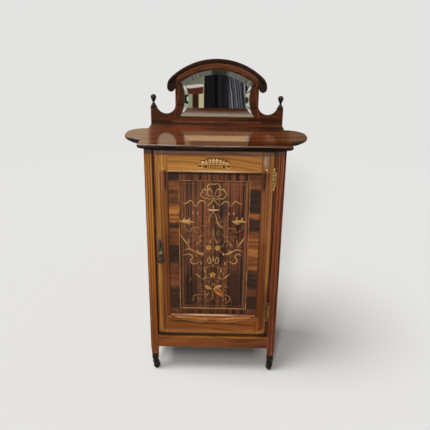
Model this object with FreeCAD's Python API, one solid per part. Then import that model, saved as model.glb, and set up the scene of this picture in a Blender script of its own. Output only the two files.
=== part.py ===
import FreeCAD, Part
import math
import os

# An Edwardian single-door music cabinet: a reeded, framed carcass on castors, a panelled door with applied
# brass hinges, a moulded top with round ears, and an arched gallery that holds a bevelled mirror.
# Millimetres. X runs to the right, Y to the back, Z up from the floor. The origin is on the floor under the
# middle of the top board.

Vector = FreeCAD.Vector

# ------------------------------------------------------------------ driving dimensions
# top board
TOP_HEIGHT = 1078.0          # floor to the upper face
TOP_THICKNESS = 26.0
TOP_DEPTH = 404.0
FRONT_OVERHANG = 28.0
BACK_OVERHANG = 6.0
SIDE_OVERHANG = 22.0         # straight front bay past the legs
EAR_REACH = 75.0             # round ears past the bay
EAR_RADIUS = 84.0
EAR_OFFSET = 90.0            # front edge of the bay to the front of the ears
EAR_LENGTH = 200.0           # front to back
TOP_ARRIS = 1.5              # eased upper edge
TOP_LIP = 8.0                # upright lip under it
TOP_QUIRK = 1.5
TOP_OVOLO = 8.0
TOP_FILLET = 2.0
TOP_COVE = 14.0              # width of the shallow hollow under the fillet
TOP_COVE_SAG = 3.0

# carcass
CABINET_WIDTH = 560.0        # over the outer faces of the legs
UNDERSIDE = 131.5            # floor to the lower edge of the rails
BOTTOM_RAIL_HEIGHT = 58.5
TOP_RAIL_HEIGHT = 52.0
LEG = 34.0                   # square section of each leg
LEG_FOOT = 28.0              # section of the tapered foot where it enters the castor
REED_MARGIN = 2.6            # flat beside the reeds
REED_DEPTH = 1.8
REED_COUNT = 3
FRONT_RAIL_THICKNESS = 30.0
RAIL_THICKNESS = 22.0
SIDE_SETBACK = 3.0           # side frames stand behind the outer leg faces
SIDE_PANEL_SETBACK = 7.0     # side panel behind the face of its rails
SIDE_PANEL_THICKNESS = 7.0
GROOVE_DEPTH = 6.0
GROOVE_PLAY = 1.0            # room that a panel has to shrink in its groove
TENON = 9.0
TENON_SETBACK = 8.0          # outer face of a rail to its tenon
TENON_SHOULDER = 8.0
SIDE_TENON_LENGTH = 12.0
TENON_WEB = 3.0              # wood left between mortises that meet in a leg
HEAD_TENON_WALL = 2.0        # front top rail's tenon to its face and to the back of the leg
MORTISE_PLAY = 1.0           # glue room past the end of a tenon
BACK_PANEL_THICKNESS = 8.0
BACK_REBATE = 10.0
BACK_PANEL_LIFT = 10.0       # its lower edge above the lower edge of the rails
FLOOR_THICKNESS = 16.0
FLOOR_LAP = 7.0              # how far the cabinet's floor lies on the side rails
STOP_CLEARANCE = 0.5         # closed door to the floor's edge and the upper rail, which stop it
SHELF_THICKNESS = 12.0
SHELF_CLEARANCE = 1.0
BEARER_WIDTH = 10.0
BEARER_HEIGHT = 14.0
BEARER_LAP = 12.0            # hold of a bearer on each leg
SHELF_NAMES = ("shelf_lower", "shelf_middle", "shelf_upper")
GLUE_BLOCK = 24.0
GLUE_BLOCK_LENGTH = 60.0
GLUE_BLOCK_OFFSET = 85.0     # front and back of the middle

# door
DOOR_GAP = 2.5               # at each side
DOOR_GAP_ENDS = 3.0          # above and below
DOOR_THICKNESS = 20.0
STILE = 57.5
DOOR_TOP_RAIL = 87.0
DOOR_BOTTOM_RAIL = 112.0
EDGE_FALL = 6.5              # how far the door's moulded outer edge falls back
EDGE_FALL_WIDTH = 16.0
EDGE_KNEE_WIDTH = 4.6        # outer edge to the knee between the two arcs of the fall
EDGE_KNEE_DROP = 1.9         # knee behind the band
EDGE_SAG = 0.8               # crown of each arc
EDGE_BAND = 11.5             # flat band inside the fall
FIELD_RECESS = 1.5           # flat of the frame behind that band
FIELD_SLOPE = 3.0            # width of the slope between the two
FIELD_CORNER = 12.0          # rounding of the band's inner corners
DOOR_TENON_LENGTH = 34.0
DOOR_TENON_SHOULDER = 14.0
PANEL_THICKNESS = 8.0
PANEL_RECESS = 4.5           # face of the panel behind the flat of the frame
PANEL_GROOVE = 8.0
BEAD = 8.0
BEAD_DEPTH = 3.5             # let into the frame
BEAD_NOSE = 3.0              # proud of the frame
CHAMFER = 4.0
CHAMFER_STOP = 14.0          # short of the beads
TONGUE_LENGTH = 94.0         # carved hollow at the top of each stile
TONGUE_WIDTH = 13.0
TONGUE_DEPTH = 2.4
TONGUE_OFFSET = 5.0          # panel opening to the hollow
TONGUE_SWELL = 3.5           # bulge of its outer side

# brass on the door
BRASS = 1.3                  # sheet thickness
HINGE_LENGTH = 94.0
HINGE_INSET = 18.0           # leaf's edge to the leg
HINGE_TOP = 64.0             # door's upper edge to the upper hinge
HINGE_BOTTOM = 84.0          # door's lower edge to the lower hinge
KNUCKLE_RADIUS = 3.6
KNUCKLE_LENGTH = 12.0
KNUCKLE_COUNT = 5
KNUCKLE_GAP = 0.3
KNUCKLE_STANDOFF = 1.0       # pin's centre in front of the door's band
HINGE_PIN_RADIUS = 1.5
LEAF_STEM = 4.0              # width of the stem behind the rounds of the leaf
LEAF_STEM_END = 4.7          # leaf's end to the end of the stem
LEAF_ROUNDS = ((0.0, 9.0), (0.39, 7.5), (0.72, 6.4), (1.0, 5.4))
LEAF_PIERCINGS = ((0.17, 2.2), (0.49, 2.2), (0.77, 1.5))
PIN_CLEARANCE = 0.06
BUTT_DEPTH = 18.0            # fixed leaf on the side of the leg
KEYHOLE_HEIGHT = 637.0
HANDLE_INSET = 20.0          # door's edge to the middle of the handle
PLATE_THICKNESS = 2.0
PLATE_WIDTH = 24.0
PLATE_WAIST = 17.4
PLATE_HEAD_SAG = 2.4         # hollow of the pointed head
PLATE_WAIST_SAG = 1.5
PLATE_FOOT_SAG = 3.0         # bulge of the foot
PLATE_ABOVE = 27.0           # plate above the keyhole
PLATE_BELOW = 42.0
KEYHOLE_RADIUS = 3.2
KEYHOLE_SLOT = 3.4
KEYHOLE_DROP = 8.0
STUD_DROP = 33.0             # keyhole to the pin of the drop handle
STUD_RADIUS = 4.4
STUD_PIN_STANDOFF = 8.0      # plate to the pin's centre
STUD_NOSE = 4.0              # stud in front of the pin's centre
STUD_NOSE_BEVEL = 2.0
STUD_FOOT_RADIUS = 6.6
STUD_FOOT = 2.7              # height of the spreading foot
DROP_PIN_RADIUS = 1.5
DROP_PIN_LENGTH = 17.0
DROP_THICKNESS = 4.0
DROP_WIDTH = 34.0
DROP_LENGTH = 48.0
DROP_WAIST_SAG = 2.0
DROP_BELLY_SAG = 5.0
DROP_LUG = 3.0
DROP_EYE_RADIUS = 3.0        # rounds of the lugs about the pin
DROP_LUG_CLEARANCE = 0.5
DROP_HOLE_RADIUS = 5.2
DROP_HOLE_SPACING = 15.0
DROP_TIP_RADIUS = 4.5

# lock
LOCK_WIDTH = 38.0
LOCK_HEIGHT = 60.0
LOCK_DEPTH = 11.0
LOCK_BACK = 3.0             # behind the key's socket
LOCK_SELVEDGE = 1.6
LOCK_SELVEDGE_HEIGHT = 74.0
BOLT_HEIGHT = 14.0
BOLT_THICKNESS = 6.0
BOLT_LENGTH = 15.0
BOLT_THROW = 8.0
BOLT_CLEARANCE = 0.3
STRIKE_HEIGHT = 40.0
STRIKE_WIDTH = 14.0
STRIKE_THICKNESS = 1.2

# gallery
GALLERY_INSET = 6.5          # end of the gallery inside the end of the front bay
GALLERY_THICKNESS = 20.0
GALLERY_HOUSING = 3.0        # let into the top board along its back edge
SHOULDER_RISE = 78.0         # outer shoulders above the top board
SHOULDER_FLAT = 25.5
SCOOP_RADIUS = 43.5          # round hollow between shoulder and neck
SCOOP_FLOOR = 43.0           # its lowest point above the top board
SCOOP_REACH = 34.0           # middle of the hollow to its cusp
CUSP_INSET = 8.0             # shoulder's corner to the cusp of the hollow
CUSP_SAG = 2.0
CREST_OVERHANG = 33.5        # crest past the neck on each side
CREST_RISE = 283.5           # top of the arch above the top board
HAUNCH_RISE = 171.0          # where the arch turns upright, above the top board
HAUNCH_RADIUS = 45.0         # tight arc at each end of the long one
CREST_CAP = 8.0              # thickness of the capping
CREST_BAND = 30.0            # capping and cove together
CREST_PROJECTION = 20.0      # in front of the gallery's face
CREST_QUIRK = 2.5
CREST_FOOT = 3.0             # small fillet at the inner edge of the cove
CREST_COVE_SAG = 3.2
VOLUTE_RADIUS = 20.0
VOLUTE_DROP = 8.0            # below the spring of the arch
VOLUTE_DECAY = 0.72          # each half turn against the one before it
VOLUTE_BAND_DECAY = 0.6
VOLUTE_HALF_TURNS = 4
VOLUTE_RELIEF = 5.0
VOLUTE_EYE = 3.6
FINIAL_BASE_RADIUS = 10.0
FINIAL_BASE = 2.0
FINIAL_NECK_RADIUS = 3.4
FINIAL_NECK_HEIGHT = 15.0     # narrowest place above the shoulder
FINIAL_NECK_SAG = 2.0
FINIAL_BALL_RADIUS = 12.5
FINIAL_HEIGHT = 52.0
FINIAL_DOWEL_RADIUS = 3.5
FINIAL_DOWEL = 18.0

# mirror
MIRROR_SILL = 33.5           # top board to the lower edge of the sight opening
MIRROR_MARGIN = 17.0         # edge of the neck to the lower corner of the opening
MIRROR_HEAD_INSET = 7.0      # upper corners inside the lower ones
MIRROR_HEAD_LIFT = 11.0      # upper corners above the haunches of the crest
MIRROR_CROWN = 15.5          # crest's inner edge to the top of the opening
MIRROR_SIDE_SAG = 18.5
MIRROR_REBATE = 6.0
MIRROR_REBATE_DEPTH = 10.0   # face of the gallery to the shoulder of the rebate
MIRROR_PLAY = 0.5
MIRROR_BEVEL = 20.0
MIRROR_BEVEL_DROP = 2.0
MIRROR_EDGE = 3.0            # thickness of the glass at its edge
MIRROR_BACK = 6.0

# castors
WHEEL_RADIUS = 15.5
WHEEL_WIDTH = 15.0
WHEEL_BEVEL = 2.0            # at both edges of the tread
WHEEL_HUB_RADIUS = 5.0
WHEEL_DISH = 1.5             # sunk sides between hub and rim
WHEEL_CLEARANCE = 0.6        # each side, inside the fork
TRAIL = 6.0                  # axle behind the swivel
AXLE_RADIUS = 2.5
AXLE_HEAD = 1.2
AXLE_HEAD_RADIUS = 4.0
FORK_CHEEK = 3.5
FORK_WIDTH = 14.0
FORK_ROUND = 16.0            # radius of the fork's rounded plan
FORK_ROOM = 5.0              # wheel to the fork's crown
FORK_CROWN = 9.0
COLLAR_RADIUS = 11.5
COLLAR_HEIGHT = 15.0
STEM_RADIUS = 4.0
STEM_LENGTH = 17.0
STEM_CLEARANCE = 0.08
THRUST_GAP = 0.4             # fork's collar to the cup
CUP_WALL = 1.6
CUP_FLOOR = 3.0
CUP_HEIGHT = 28.0
LEG_PLAY = 1.0               # end grain of the foot above the stem

# ------------------------------------------------------------------ derived levels and faces
top_z = TOP_HEIGHT
under_z = TOP_HEIGHT - TOP_THICKNESS
top_front = -TOP_DEPTH / 2
top_back = TOP_DEPTH / 2
front = top_front + FRONT_OVERHANG
back = top_back - BACK_OVERHANG
leg_outer = CABINET_WIDTH / 2
leg_inner = leg_outer - LEG
bay_half = leg_outer + SIDE_OVERHANG
ear_end = bay_half + EAR_REACH
front_leg_back = front + LEG
rear_leg_front = back - LEG
rail_top = UNDERSIDE + BOTTOM_RAIL_HEIGHT
side_outer = leg_outer - SIDE_SETBACK
side_inner = side_outer - RAIL_THICKNESS
side_panel_outer = side_outer - SIDE_PANEL_SETBACK
side_panel_inner = side_panel_outer - SIDE_PANEL_THICKNESS
side_tenon_inner = side_outer - TENON_SETBACK - TENON
cross_tenon_length = side_tenon_inner - TENON_WEB - leg_inner
back_panel_front = back - BACK_PANEL_THICKNESS
door_half = leg_inner - DOOR_GAP
door_bottom = rail_top + DOOR_GAP_ENDS
door_top = under_z - DOOR_GAP_ENDS
door_back = front + DOOR_THICKNESS
stop_face = door_back + STOP_CLEARANCE
floor_top = rail_top + FLOOR_THICKNESS
field = front + FIELD_RECESS
opening_half = door_half - STILE
opening_bottom = door_bottom + DOOR_BOTTOM_RAIL
opening_top = door_top - DOOR_TOP_RAIL
panel_face = field + PANEL_RECESS
panel_back = panel_face + PANEL_THICKNESS
hinge_x = leg_inner - KNUCKLE_GAP - KNUCKLE_RADIUS
hinge_y = front - KNUCKLE_STANDOFF
handle_x = HANDLE_INSET - door_half
stud_z = KEYHOLE_HEIGHT - STUD_DROP
plate_face = front - PLATE_THICKNESS
drop_pin_y = plate_face - STUD_PIN_STANDOFF
gallery_face = top_back - GALLERY_THICKNESS
gallery_half = bay_half - GALLERY_INSET
seat_z = top_z - GALLERY_HOUSING
shoulder_z = top_z + SHOULDER_RISE
cusp_x = gallery_half - SHOULDER_FLAT - CUSP_INSET
scoop_x = cusp_x - SCOOP_REACH
scoop_z = top_z + SCOOP_FLOOR + SCOOP_RADIUS
neck_half = scoop_x - SCOOP_RADIUS
crest_half = neck_half + CREST_OVERHANG
spring_z = top_z + HAUNCH_RISE
crest_z = top_z + CREST_RISE
mirror_foot_half = neck_half - MIRROR_MARGIN
mirror_head_z = spring_z + MIRROR_HEAD_LIFT
mirror_crown_z = crest_z - CREST_BAND - MIRROR_CROWN
volute_z = spring_z - VOLUTE_DROP
axle_z = WHEEL_RADIUS
crown_z = 2 * WHEEL_RADIUS + FORK_ROOM
collar_z = crown_z + FORK_CROWN
cup_z = collar_z + COLLAR_HEIGHT + THRUST_GAP
foot_z = cup_z + CUP_FLOOR
cup_rim = cup_z + CUP_HEIGHT
leg_x = leg_outer - LEG / 2
CASTOR_TURNS = {"front_left": -45.0, "front_right": 17.0, "rear_left": 30.0, "rear_right": -20.0}
LEG_PLACES = {
    "front_left": (-leg_x, front + LEG / 2),
    "front_right": (leg_x, front + LEG / 2),
    "rear_left": (-leg_x, back - LEG / 2),
    "rear_right": (leg_x, back - LEG / 2),
}

# The arch is one long arc with a tighter arc at each end that turns upright. The tight arc touches the long
# one from inside, which fixes the long one's radius.
haunch_x = crest_half - HAUNCH_RADIUS
arch_rise = crest_z - spring_z
crest_radius = (haunch_x ** 2 + arch_rise ** 2 - HAUNCH_RADIUS ** 2) / (2 * (arch_rise - HAUNCH_RADIUS))
crest_centre_z = crest_z - crest_radius
haunch_angle = math.degrees(math.atan2(spring_z - crest_centre_z, haunch_x))


# ------------------------------------------------------------------ helpers
def block(x, y, z):
    """Box between three pairs of limits, each in either order."""
    corner = Vector(min(x), min(y), min(z))
    return Part.makeBox(abs(x[1] - x[0]), abs(y[1] - y[0]), abs(z[1] - z[0]), corner)


def rod(radius, start, end):
    """Cylinder between two centres."""
    axis = Vector(*end) - Vector(*start)
    return Part.makeCylinder(radius, axis.Length, Vector(*start), axis)


def mirrored(shape):
    """The same shape on the other side of the cabinet's middle plane."""
    return shape.mirror(Vector(0, 0, 0), Vector(1, 0, 0))


def whole(shape):
    """One tidy solid from the result of joining or cutting."""
    tidy = shape.removeSplitter()
    return tidy.Solids[0] if len(tidy.Solids) == 1 else tidy


def join(*shapes):
    """Shapes fused into one solid."""
    return whole(shapes[0].multiFuse(list(shapes[1:])))


def swung(shape, angle, centre):
    """Turned in the XZ plane, anticlockwise as seen from the front."""
    turned_shape = shape.copy()
    turned_shape.rotate(Vector(*centre), Vector(0, -1, 0), angle)
    return turned_shape


class Outline:
    """A closed outline of lines and arcs, drawn in two coordinates and placed in space when it is used."""

    def __init__(self, u, v):
        self.start = (u, v)
        self.end = (u, v)
        self.parts = []

    def line(self, u, v):
        self.parts.append((self.end, (u, v)))
        self.end = (u, v)
        return self

    def arc(self, through, to):
        self.parts.append((self.end, through, to))
        self.end = to
        return self

    def sagged(self, to, sag):
        """Arc to a point; a positive sag bulges to the left of the way there."""
        du, dv = to[0] - self.end[0], to[1] - self.end[1]
        run = math.hypot(du, dv)
        middle = ((self.end[0] + to[0]) / 2 - dv / run * sag, (self.end[1] + to[1]) / 2 + du / run * sag)
        return self.arc(middle, to)

    def round(self, centre, to):
        """The shorter arc about a centre to a point."""
        radius = math.dist(centre, to)
        ends = (self.end, to)
        du = sum(end[0] - centre[0] for end in ends)
        dv = sum(end[1] - centre[1] for end in ends)
        scale = radius / math.hypot(du, dv)
        return self.arc((centre[0] + du * scale, centre[1] + dv * scale), to)

    def wire(self, place):
        if math.dist(self.end, self.start) > 1e-7:
            self.line(*self.start)
        edges = []
        for part in self.parts:
            points = [place(*point) for point in part]
            curve = Part.LineSegment(*points) if len(points) == 2 else Part.Arc(*points)
            edges.append(curve.toShape())
        return Part.Wire(edges)

    def face(self, place):
        return Part.Face(self.wire(place))

    def prism(self, place, direction):
        return self.face(place).extrude(Vector(*direction))


def on_front(y):
    """Outline coordinates are X and Z, at one depth."""
    return lambda u, v: Vector(u, y, v)


def on_side(x):
    """Outline coordinates are Y and Z, at one X."""
    return lambda u, v: Vector(x, u, v)


def on_plan(z):
    """Outline coordinates are X and Y, at one height."""
    return lambda u, v: Vector(u, v, z)


def turned(outline, centre):
    """Outline of radius and height revolved about an upright axis."""
    place = lambda u, v: Vector(centre[0] + u, centre[1], centre[2] + v)
    return outline.face(place).revolve(Vector(*centre), Vector(0, 0, 1), 360)


# ------------------------------------------------------------------ top board
def moulded_edge(reach):
    """Section of the top from its core at 0 out to its edge at reach: lip, ovolo, fillet and cove."""
    lip_z = top_z - TOP_LIP
    ovolo_u = reach - TOP_QUIRK - TOP_OVOLO
    ovolo_z = lip_z - TOP_OVOLO
    cove_z = ovolo_z - TOP_FILLET
    section = Outline(0, under_z).line(0, top_z).line(reach - TOP_ARRIS, top_z)
    section.line(reach, top_z - TOP_ARRIS).line(reach, lip_z).line(reach - TOP_QUIRK, lip_z)
    section.round((ovolo_u, lip_z), (ovolo_u, ovolo_z)).line(ovolo_u, cove_z)
    return section.sagged((ovolo_u - TOP_COVE, under_z), -TOP_COVE_SAG)


def top_board():
    """A front bay, a run behind it as wide as the gallery, and a round-cornered ear across each end."""
    ear_front = top_front + EAR_OFFSET
    ear_back = ear_front + EAR_LENGTH
    ear_middle = (ear_front + ear_back) / 2
    ear_half = EAR_LENGTH / 2
    corner_x = ear_end - EAR_RADIUS

    def run_along_y(half, y):
        right = moulded_edge(half).prism(on_front(y[0]), (0, y[1] - y[0], 0))
        return right, mirrored(right)

    def run_along_x(reach, sign, half):
        place = lambda u, v: Vector(-half, ear_middle + sign * u, v)
        return moulded_edge(reach).prism(place, (2 * half, 0, 0))

    bay_sides = join(*run_along_y(bay_half, (top_front, ear_middle)))
    bay = bay_sides.common(run_along_x(ear_middle - top_front, -1, bay_half))
    run = join(*run_along_y(gallery_half, (ear_middle, top_back)))
    strips = [run_along_x(ear_half, sign, corner_x) for sign in (-1, 1)]
    corner_y = ear_half - EAR_RADIUS
    ends = []
    for sign in (-1, 1):
        centre = Vector(corner_x, ear_middle + sign * corner_y, 0)
        place = lambda u, v: centre + Vector(u, 0, v)
        ends.append(moulded_edge(EAR_RADIUS).face(place).revolve(centre, Vector(0, 0, sign), 90))
    middle_place = lambda u, v: Vector(corner_x + u, ear_middle - corner_y, v)
    ends.append(moulded_edge(EAR_RADIUS).prism(middle_place, (0, 2 * corner_y, 0)))
    board = join(bay, run, *strips, *ends, *[mirrored(end) for end in ends])
    return whole(board.cut(block((-gallery_half, gallery_half), (gallery_face, top_back), (seat_z, top_z))))


# ------------------------------------------------------------------ legs, rails and panels
def leg_section(size, reeded, centre):
    """Square section, with half-round reeds across the front face of a front leg."""
    half = size / 2
    section = Outline(centre[0] - half, centre[1] - half)
    if reeded:
        scale = size / LEG
        left = centre[0] - half + REED_MARGIN * scale
        hollow_y = centre[1] - half + REED_DEPTH * scale
        step = (size - 2 * REED_MARGIN * scale) / REED_COUNT
        section.line(left, centre[1] - half).line(left, hollow_y)
        for number in range(1, REED_COUNT + 1):
            section.sagged((left + number * step, hollow_y), -REED_DEPTH * scale)
        section.line(left + REED_COUNT * step, centre[1] - half)
    section.line(centre[0] + half, centre[1] - half)
    section.line(centre[0] + half, centre[1] + half).line(centre[0] - half, centre[1] + half)
    return section


def leg_blank(name):
    """Leg from the castor to the underside of the top, tapered below the rails."""
    centre = LEG_PLACES[name]
    reeded = name.startswith("front")
    shaft = leg_section(LEG, reeded, centre).prism(on_plan(UNDERSIDE), (0, 0, under_z - UNDERSIDE))
    wires = [
        leg_section(LEG_FOOT, reeded, centre).wire(on_plan(cup_rim)),
        leg_section(LEG, reeded, centre).wire(on_plan(UNDERSIDE)),
    ]
    taper = Part.makeLoft(wires, True, True)
    spigot = LEG_FOOT / 2 - CUP_WALL
    x, y = centre
    foot = block((x - spigot, x + spigot), (y - spigot, y + spigot), (foot_z, cup_rim))
    stem_hole = rod(STEM_RADIUS + STEM_CLEARANCE, (x, y, foot_z), (x, y, cup_z + STEM_LENGTH + LEG_PLAY))
    return join(shaft, taper, foot).cut(stem_hole)


def tenoned_rail(ends, across, z, tenon_across, length, lengthwise):
    """A rail with a tenon at each end, and the two mortises that take them."""
    def lay(along, sideways, heights):
        return block(along, sideways, heights) if lengthwise == "x" else block(sideways, along, heights)

    heights = (z[0] + TENON_SHOULDER, z[1] - TENON_SHOULDER)
    body = lay(ends, across, z)
    tenons = lay((ends[0] - length, ends[1] + length), tenon_across, heights)
    room = length + MORTISE_PLAY
    mortises = lay((ends[0] - room, ends[1] + room), tenon_across, heights)
    return join(body, tenons), mortises


def carcass_frame():
    """Rails by name, and everything that the legs are cut for."""
    rails = {}
    cuts = []
    levels = {"bottom": (UNDERSIDE, rail_top), "top": (under_z - TOP_RAIL_HEIGHT, under_z)}
    rear_y = (back_panel_front - RAIL_THICKNESS, back_panel_front)
    rear_tenon = (rear_y[0] + TENON_SETBACK, rear_y[0] + TENON_SETBACK + TENON)
    front_y = (front, front + FRONT_RAIL_THICKNESS)
    front_tenon = (front + TENON_SETBACK, front + TENON_SETBACK + TENON)
    head_y = (stop_face, stop_face + RAIL_THICKNESS)
    head_tenon = (stop_face + HEAD_TENON_WALL, front_leg_back - HEAD_TENON_WALL)
    cross = {
        "front_bottom_rail": (front_y, levels["bottom"], front_tenon),
        "front_top_rail": (head_y, levels["top"], head_tenon),
        "back_bottom_rail": (rear_y, levels["bottom"], rear_tenon),
        "back_top_rail": (rear_y, levels["top"], rear_tenon),
    }
    for name, (y, z, tenon_y) in cross.items():
        rail, mortises = tenoned_rail((-leg_inner, leg_inner), y, z, tenon_y, cross_tenon_length, "x")
        rails[name] = rail
        cuts.append(mortises)
    panel_z = (rail_top - GROOVE_DEPTH, under_z - TOP_RAIL_HEIGHT + GROOVE_DEPTH)
    panel_y = (front_leg_back - GROOVE_DEPTH, rear_leg_front + GROOVE_DEPTH)
    side_x = (side_inner, side_outer)
    tenon_x = (side_tenon_inner, side_tenon_inner + TENON)
    groove = block((side_panel_inner, side_panel_outer), panel_y, panel_z)
    for level, z in levels.items():
        ends = (front_leg_back, rear_leg_front)
        rail, mortises = tenoned_rail(ends, side_x, z, tenon_x, SIDE_TENON_LENGTH, "y")
        rail = whole(rail.cut(groove))
        rails[f"side_{level}_rail_right"] = rail
        rails[f"side_{level}_rail_left"] = mirrored(rail)
        cuts += [mortises, mirrored(mortises)]
    play = GROOVE_PLAY
    panel = block(
        (side_panel_inner, side_panel_outer),
        (panel_y[0] + play, panel_y[1] - play),
        (panel_z[0] + play, panel_z[1] - play),
    )
    rails["side_panel_right"] = panel
    rails["side_panel_left"] = mirrored(panel)
    cuts += [groove, mirrored(groove)]
    rebate_half = leg_inner + BACK_REBATE
    back_z = (UNDERSIDE + BACK_PANEL_LIFT, under_z)
    cuts.append(block((-rebate_half, rebate_half), (back_panel_front, back), back_z))
    panel_half = rebate_half - GROOVE_PLAY
    rails["back_panel"] = block((-panel_half, panel_half), (back_panel_front, back), back_z)
    return rails, cuts


def cabinet_floor():
    """Board on the bottom rails, notched round the legs; its front edge stops the door."""
    half = side_inner + FLOOR_LAP
    board = block((-half, half), (stop_face, back_panel_front), (rail_top, floor_top))
    for x, y in LEG_PLACES.values():
        reach = LEG / 2
        board = board.cut(block((x - reach, x + reach), (y - reach, y + reach), (rail_top, floor_top)))
    return whole(board)


def shelf_levels():
    """Undersides of the shelves, evenly spaced over the inside height."""
    room = (under_z - floor_top) / (len(SHELF_NAMES) + 1)
    return [floor_top + room * number for number in range(1, len(SHELF_NAMES) + 1)]


def shelf(level):
    half = leg_inner - SHELF_CLEARANCE
    y = (front_leg_back - BEARER_LAP, back_panel_front - SHELF_CLEARANCE)
    return block((-half, half), y, (level, level + SHELF_THICKNESS))


def shelf_bearers():
    """Ledges across the inner faces of the legs, one pair under each shelf."""
    ledges = []
    for level in shelf_levels():
        ledge = block(
            (leg_inner - BEARER_WIDTH, leg_inner),
            (front_leg_back - BEARER_LAP, rear_leg_front + BEARER_LAP),
            (level - BEARER_HEIGHT, level),
        )
        ledges += [ledge, mirrored(ledge)]
    return Part.makeCompound(ledges)


def glue_blocks():
    """Three-cornered blocks that hold the top board to the side rails."""
    blocks = []
    for middle in (-GLUE_BLOCK_OFFSET, GLUE_BLOCK_OFFSET):
        corner = Outline(side_inner, under_z).line(side_inner - GLUE_BLOCK, under_z)
        corner.line(side_inner, under_z - GLUE_BLOCK)
        start = middle - GLUE_BLOCK_LENGTH / 2
        piece = corner.prism(on_front(start), (0, GLUE_BLOCK_LENGTH, 0))
        blocks += [piece, mirrored(piece)]
    return Part.makeCompound(blocks)


# ------------------------------------------------------------------ door
def edge_section(half):
    """Section across the door about its middle: two arcs down each outer edge, the outer one tighter."""
    flat = half - EDGE_FALL_WIDTH
    knee = (half - EDGE_KNEE_WIDTH, front + EDGE_KNEE_DROP)
    section = Outline(-half, door_back).line(-half, front + EDGE_FALL)
    section.sagged((-knee[0], knee[1]), -EDGE_SAG).sagged((-flat, front), -EDGE_SAG)
    section.line(flat, front).sagged(knee, -EDGE_SAG).sagged((half, front + EDGE_FALL), -EDGE_SAG)
    return section.line(half, door_back)


def rounded_rectangle(half_x, z, corner):
    """Outline about the door's middle with rounded corners."""
    low, high = z
    outline = Outline(corner - half_x, low).line(half_x - corner, low)
    outline.round((half_x - corner, low + corner), (half_x, low + corner)).line(half_x, high - corner)
    outline.round((half_x - corner, high - corner), (half_x - corner, high)).line(corner - half_x, high)
    outline.round((corner - half_x, high - corner), (-half_x, high - corner)).line(-half_x, low + corner)
    return outline.round((corner - half_x, low + corner), (corner - half_x, low))


def door_slab():
    """The door's frame as one slab, moulded along its outer edges with mitred corners."""
    middle = (door_bottom + door_top) / 2
    half_height = (door_top - door_bottom) / 2
    upright = edge_section(door_half).prism(on_plan(door_bottom), (0, 0, door_top - door_bottom))
    place = lambda u, v: Vector(-door_half, v, middle + u)
    return upright.common(edge_section(half_height).prism(place, (2 * door_half, 0, 0)))


def door_field():
    """What is taken off inside the band to leave the recessed flat."""
    inset = EDGE_FALL_WIDTH + EDGE_BAND
    wires = []
    for extra, y in ((0, front), (FIELD_SLOPE, field)):
        z = (door_bottom + inset + extra, door_top - inset - extra)
        wires.append(rounded_rectangle(door_half - inset - extra, z, FIELD_CORNER - extra).wire(on_front(y)))
    return Part.makeLoft(wires, True, True)


def tongue_hollow():
    """Carved hollow at the head of the right stile: broad at the top, running out to a point."""
    low = (opening_half + TONGUE_OFFSET + TONGUE_WIDTH / 2, opening_top - TONGUE_LENGTH)
    hollow = Outline(opening_half + TONGUE_OFFSET, opening_top)
    hollow.line(opening_half + TONGUE_OFFSET + TONGUE_WIDTH, opening_top)
    hollow.sagged(low, TONGUE_SWELL).sagged((opening_half + TONGUE_OFFSET, opening_top), -TONGUE_SWELL / 2)
    return hollow.prism(on_front(field - TONGUE_DEPTH), (0, 2 * TONGUE_DEPTH, 0))


def chamfer_cut():
    """Chamfer along the inner arris of the right stile, stopped short of the beads."""
    corner = Outline(opening_half, field).line(opening_half + CHAMFER, field)
    corner.line(opening_half, field + CHAMFER)
    low = opening_bottom + CHAMFER_STOP
    return corner.prism(on_plan(low), (0, 0, opening_top - CHAMFER_STOP - low))


def bead(z):
    """Half-round bead along the edge of a rail, let into it and standing proud."""
    low, high = z
    section = Outline(field + BEAD_DEPTH, low).line(field + BEAD_DEPTH, high).line(field, high)
    section.arc((field - BEAD_NOSE, (low + high) / 2), (field, low))
    return section.prism(on_side(-opening_half), (2 * opening_half, 0, 0))


def door_frame(slab):
    """Stiles, rails, panel and beads of the door, framed up with tenons and a grooved-in panel."""
    blank = slab.cut(door_field())
    all_z = (door_bottom, door_top)
    all_y = (front, door_back)
    groove_y = (panel_face, panel_back)
    groove_x = (-opening_half - PANEL_GROOVE, opening_half + PANEL_GROOVE)
    groove_z = (opening_bottom - PANEL_GROOVE, opening_top + PANEL_GROOVE)
    groove = block(groove_x, groove_y, groove_z)
    beads = {
        "bead_top": bead((opening_top, opening_top + BEAD)),
        "bead_bottom": bead((opening_bottom - BEAD, opening_bottom)),
    }
    rails = {"door_top_rail": (opening_top, door_top), "door_bottom_rail": (door_bottom, opening_bottom)}
    nodes = {}
    mortises = []
    for name, z in rails.items():
        heights = (z[0] + DOOR_TENON_SHOULDER, z[1] - DOOR_TENON_SHOULDER)
        reach = opening_half + DOOR_TENON_LENGTH
        tenons = block((-reach, reach), groove_y, heights)
        rail = blank.common(block((-opening_half, opening_half), all_y, z))
        rail = join(rail, tenons)
        nodes[name] = whole(rail.cut(groove).cut(beads["bead_top"]).cut(beads["bead_bottom"]))
        reach += MORTISE_PLAY
        mortises.append(block((-reach, reach), groove_y, heights))
    stile = blank.common(block((opening_half, door_half), all_y, all_z))
    stile = stile.cut(groove).cut(mortises[0]).cut(mortises[1]).cut(chamfer_cut()).cut(tongue_hollow())
    nodes["door_stile_right"] = whole(stile)
    nodes["door_stile_left"] = mirrored(nodes["door_stile_right"])
    nodes["door_panel"] = block(
        (groove_x[0] + GROOVE_PLAY, groove_x[1] - GROOVE_PLAY),
        groove_y,
        (groove_z[0] + GROOVE_PLAY, groove_z[1] - GROOVE_PLAY),
    )
    nodes.update(beads)
    return nodes


# ------------------------------------------------------------------ hinges
def barrel_half():
    return KNUCKLE_COUNT * KNUCKLE_LENGTH / 2


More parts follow.
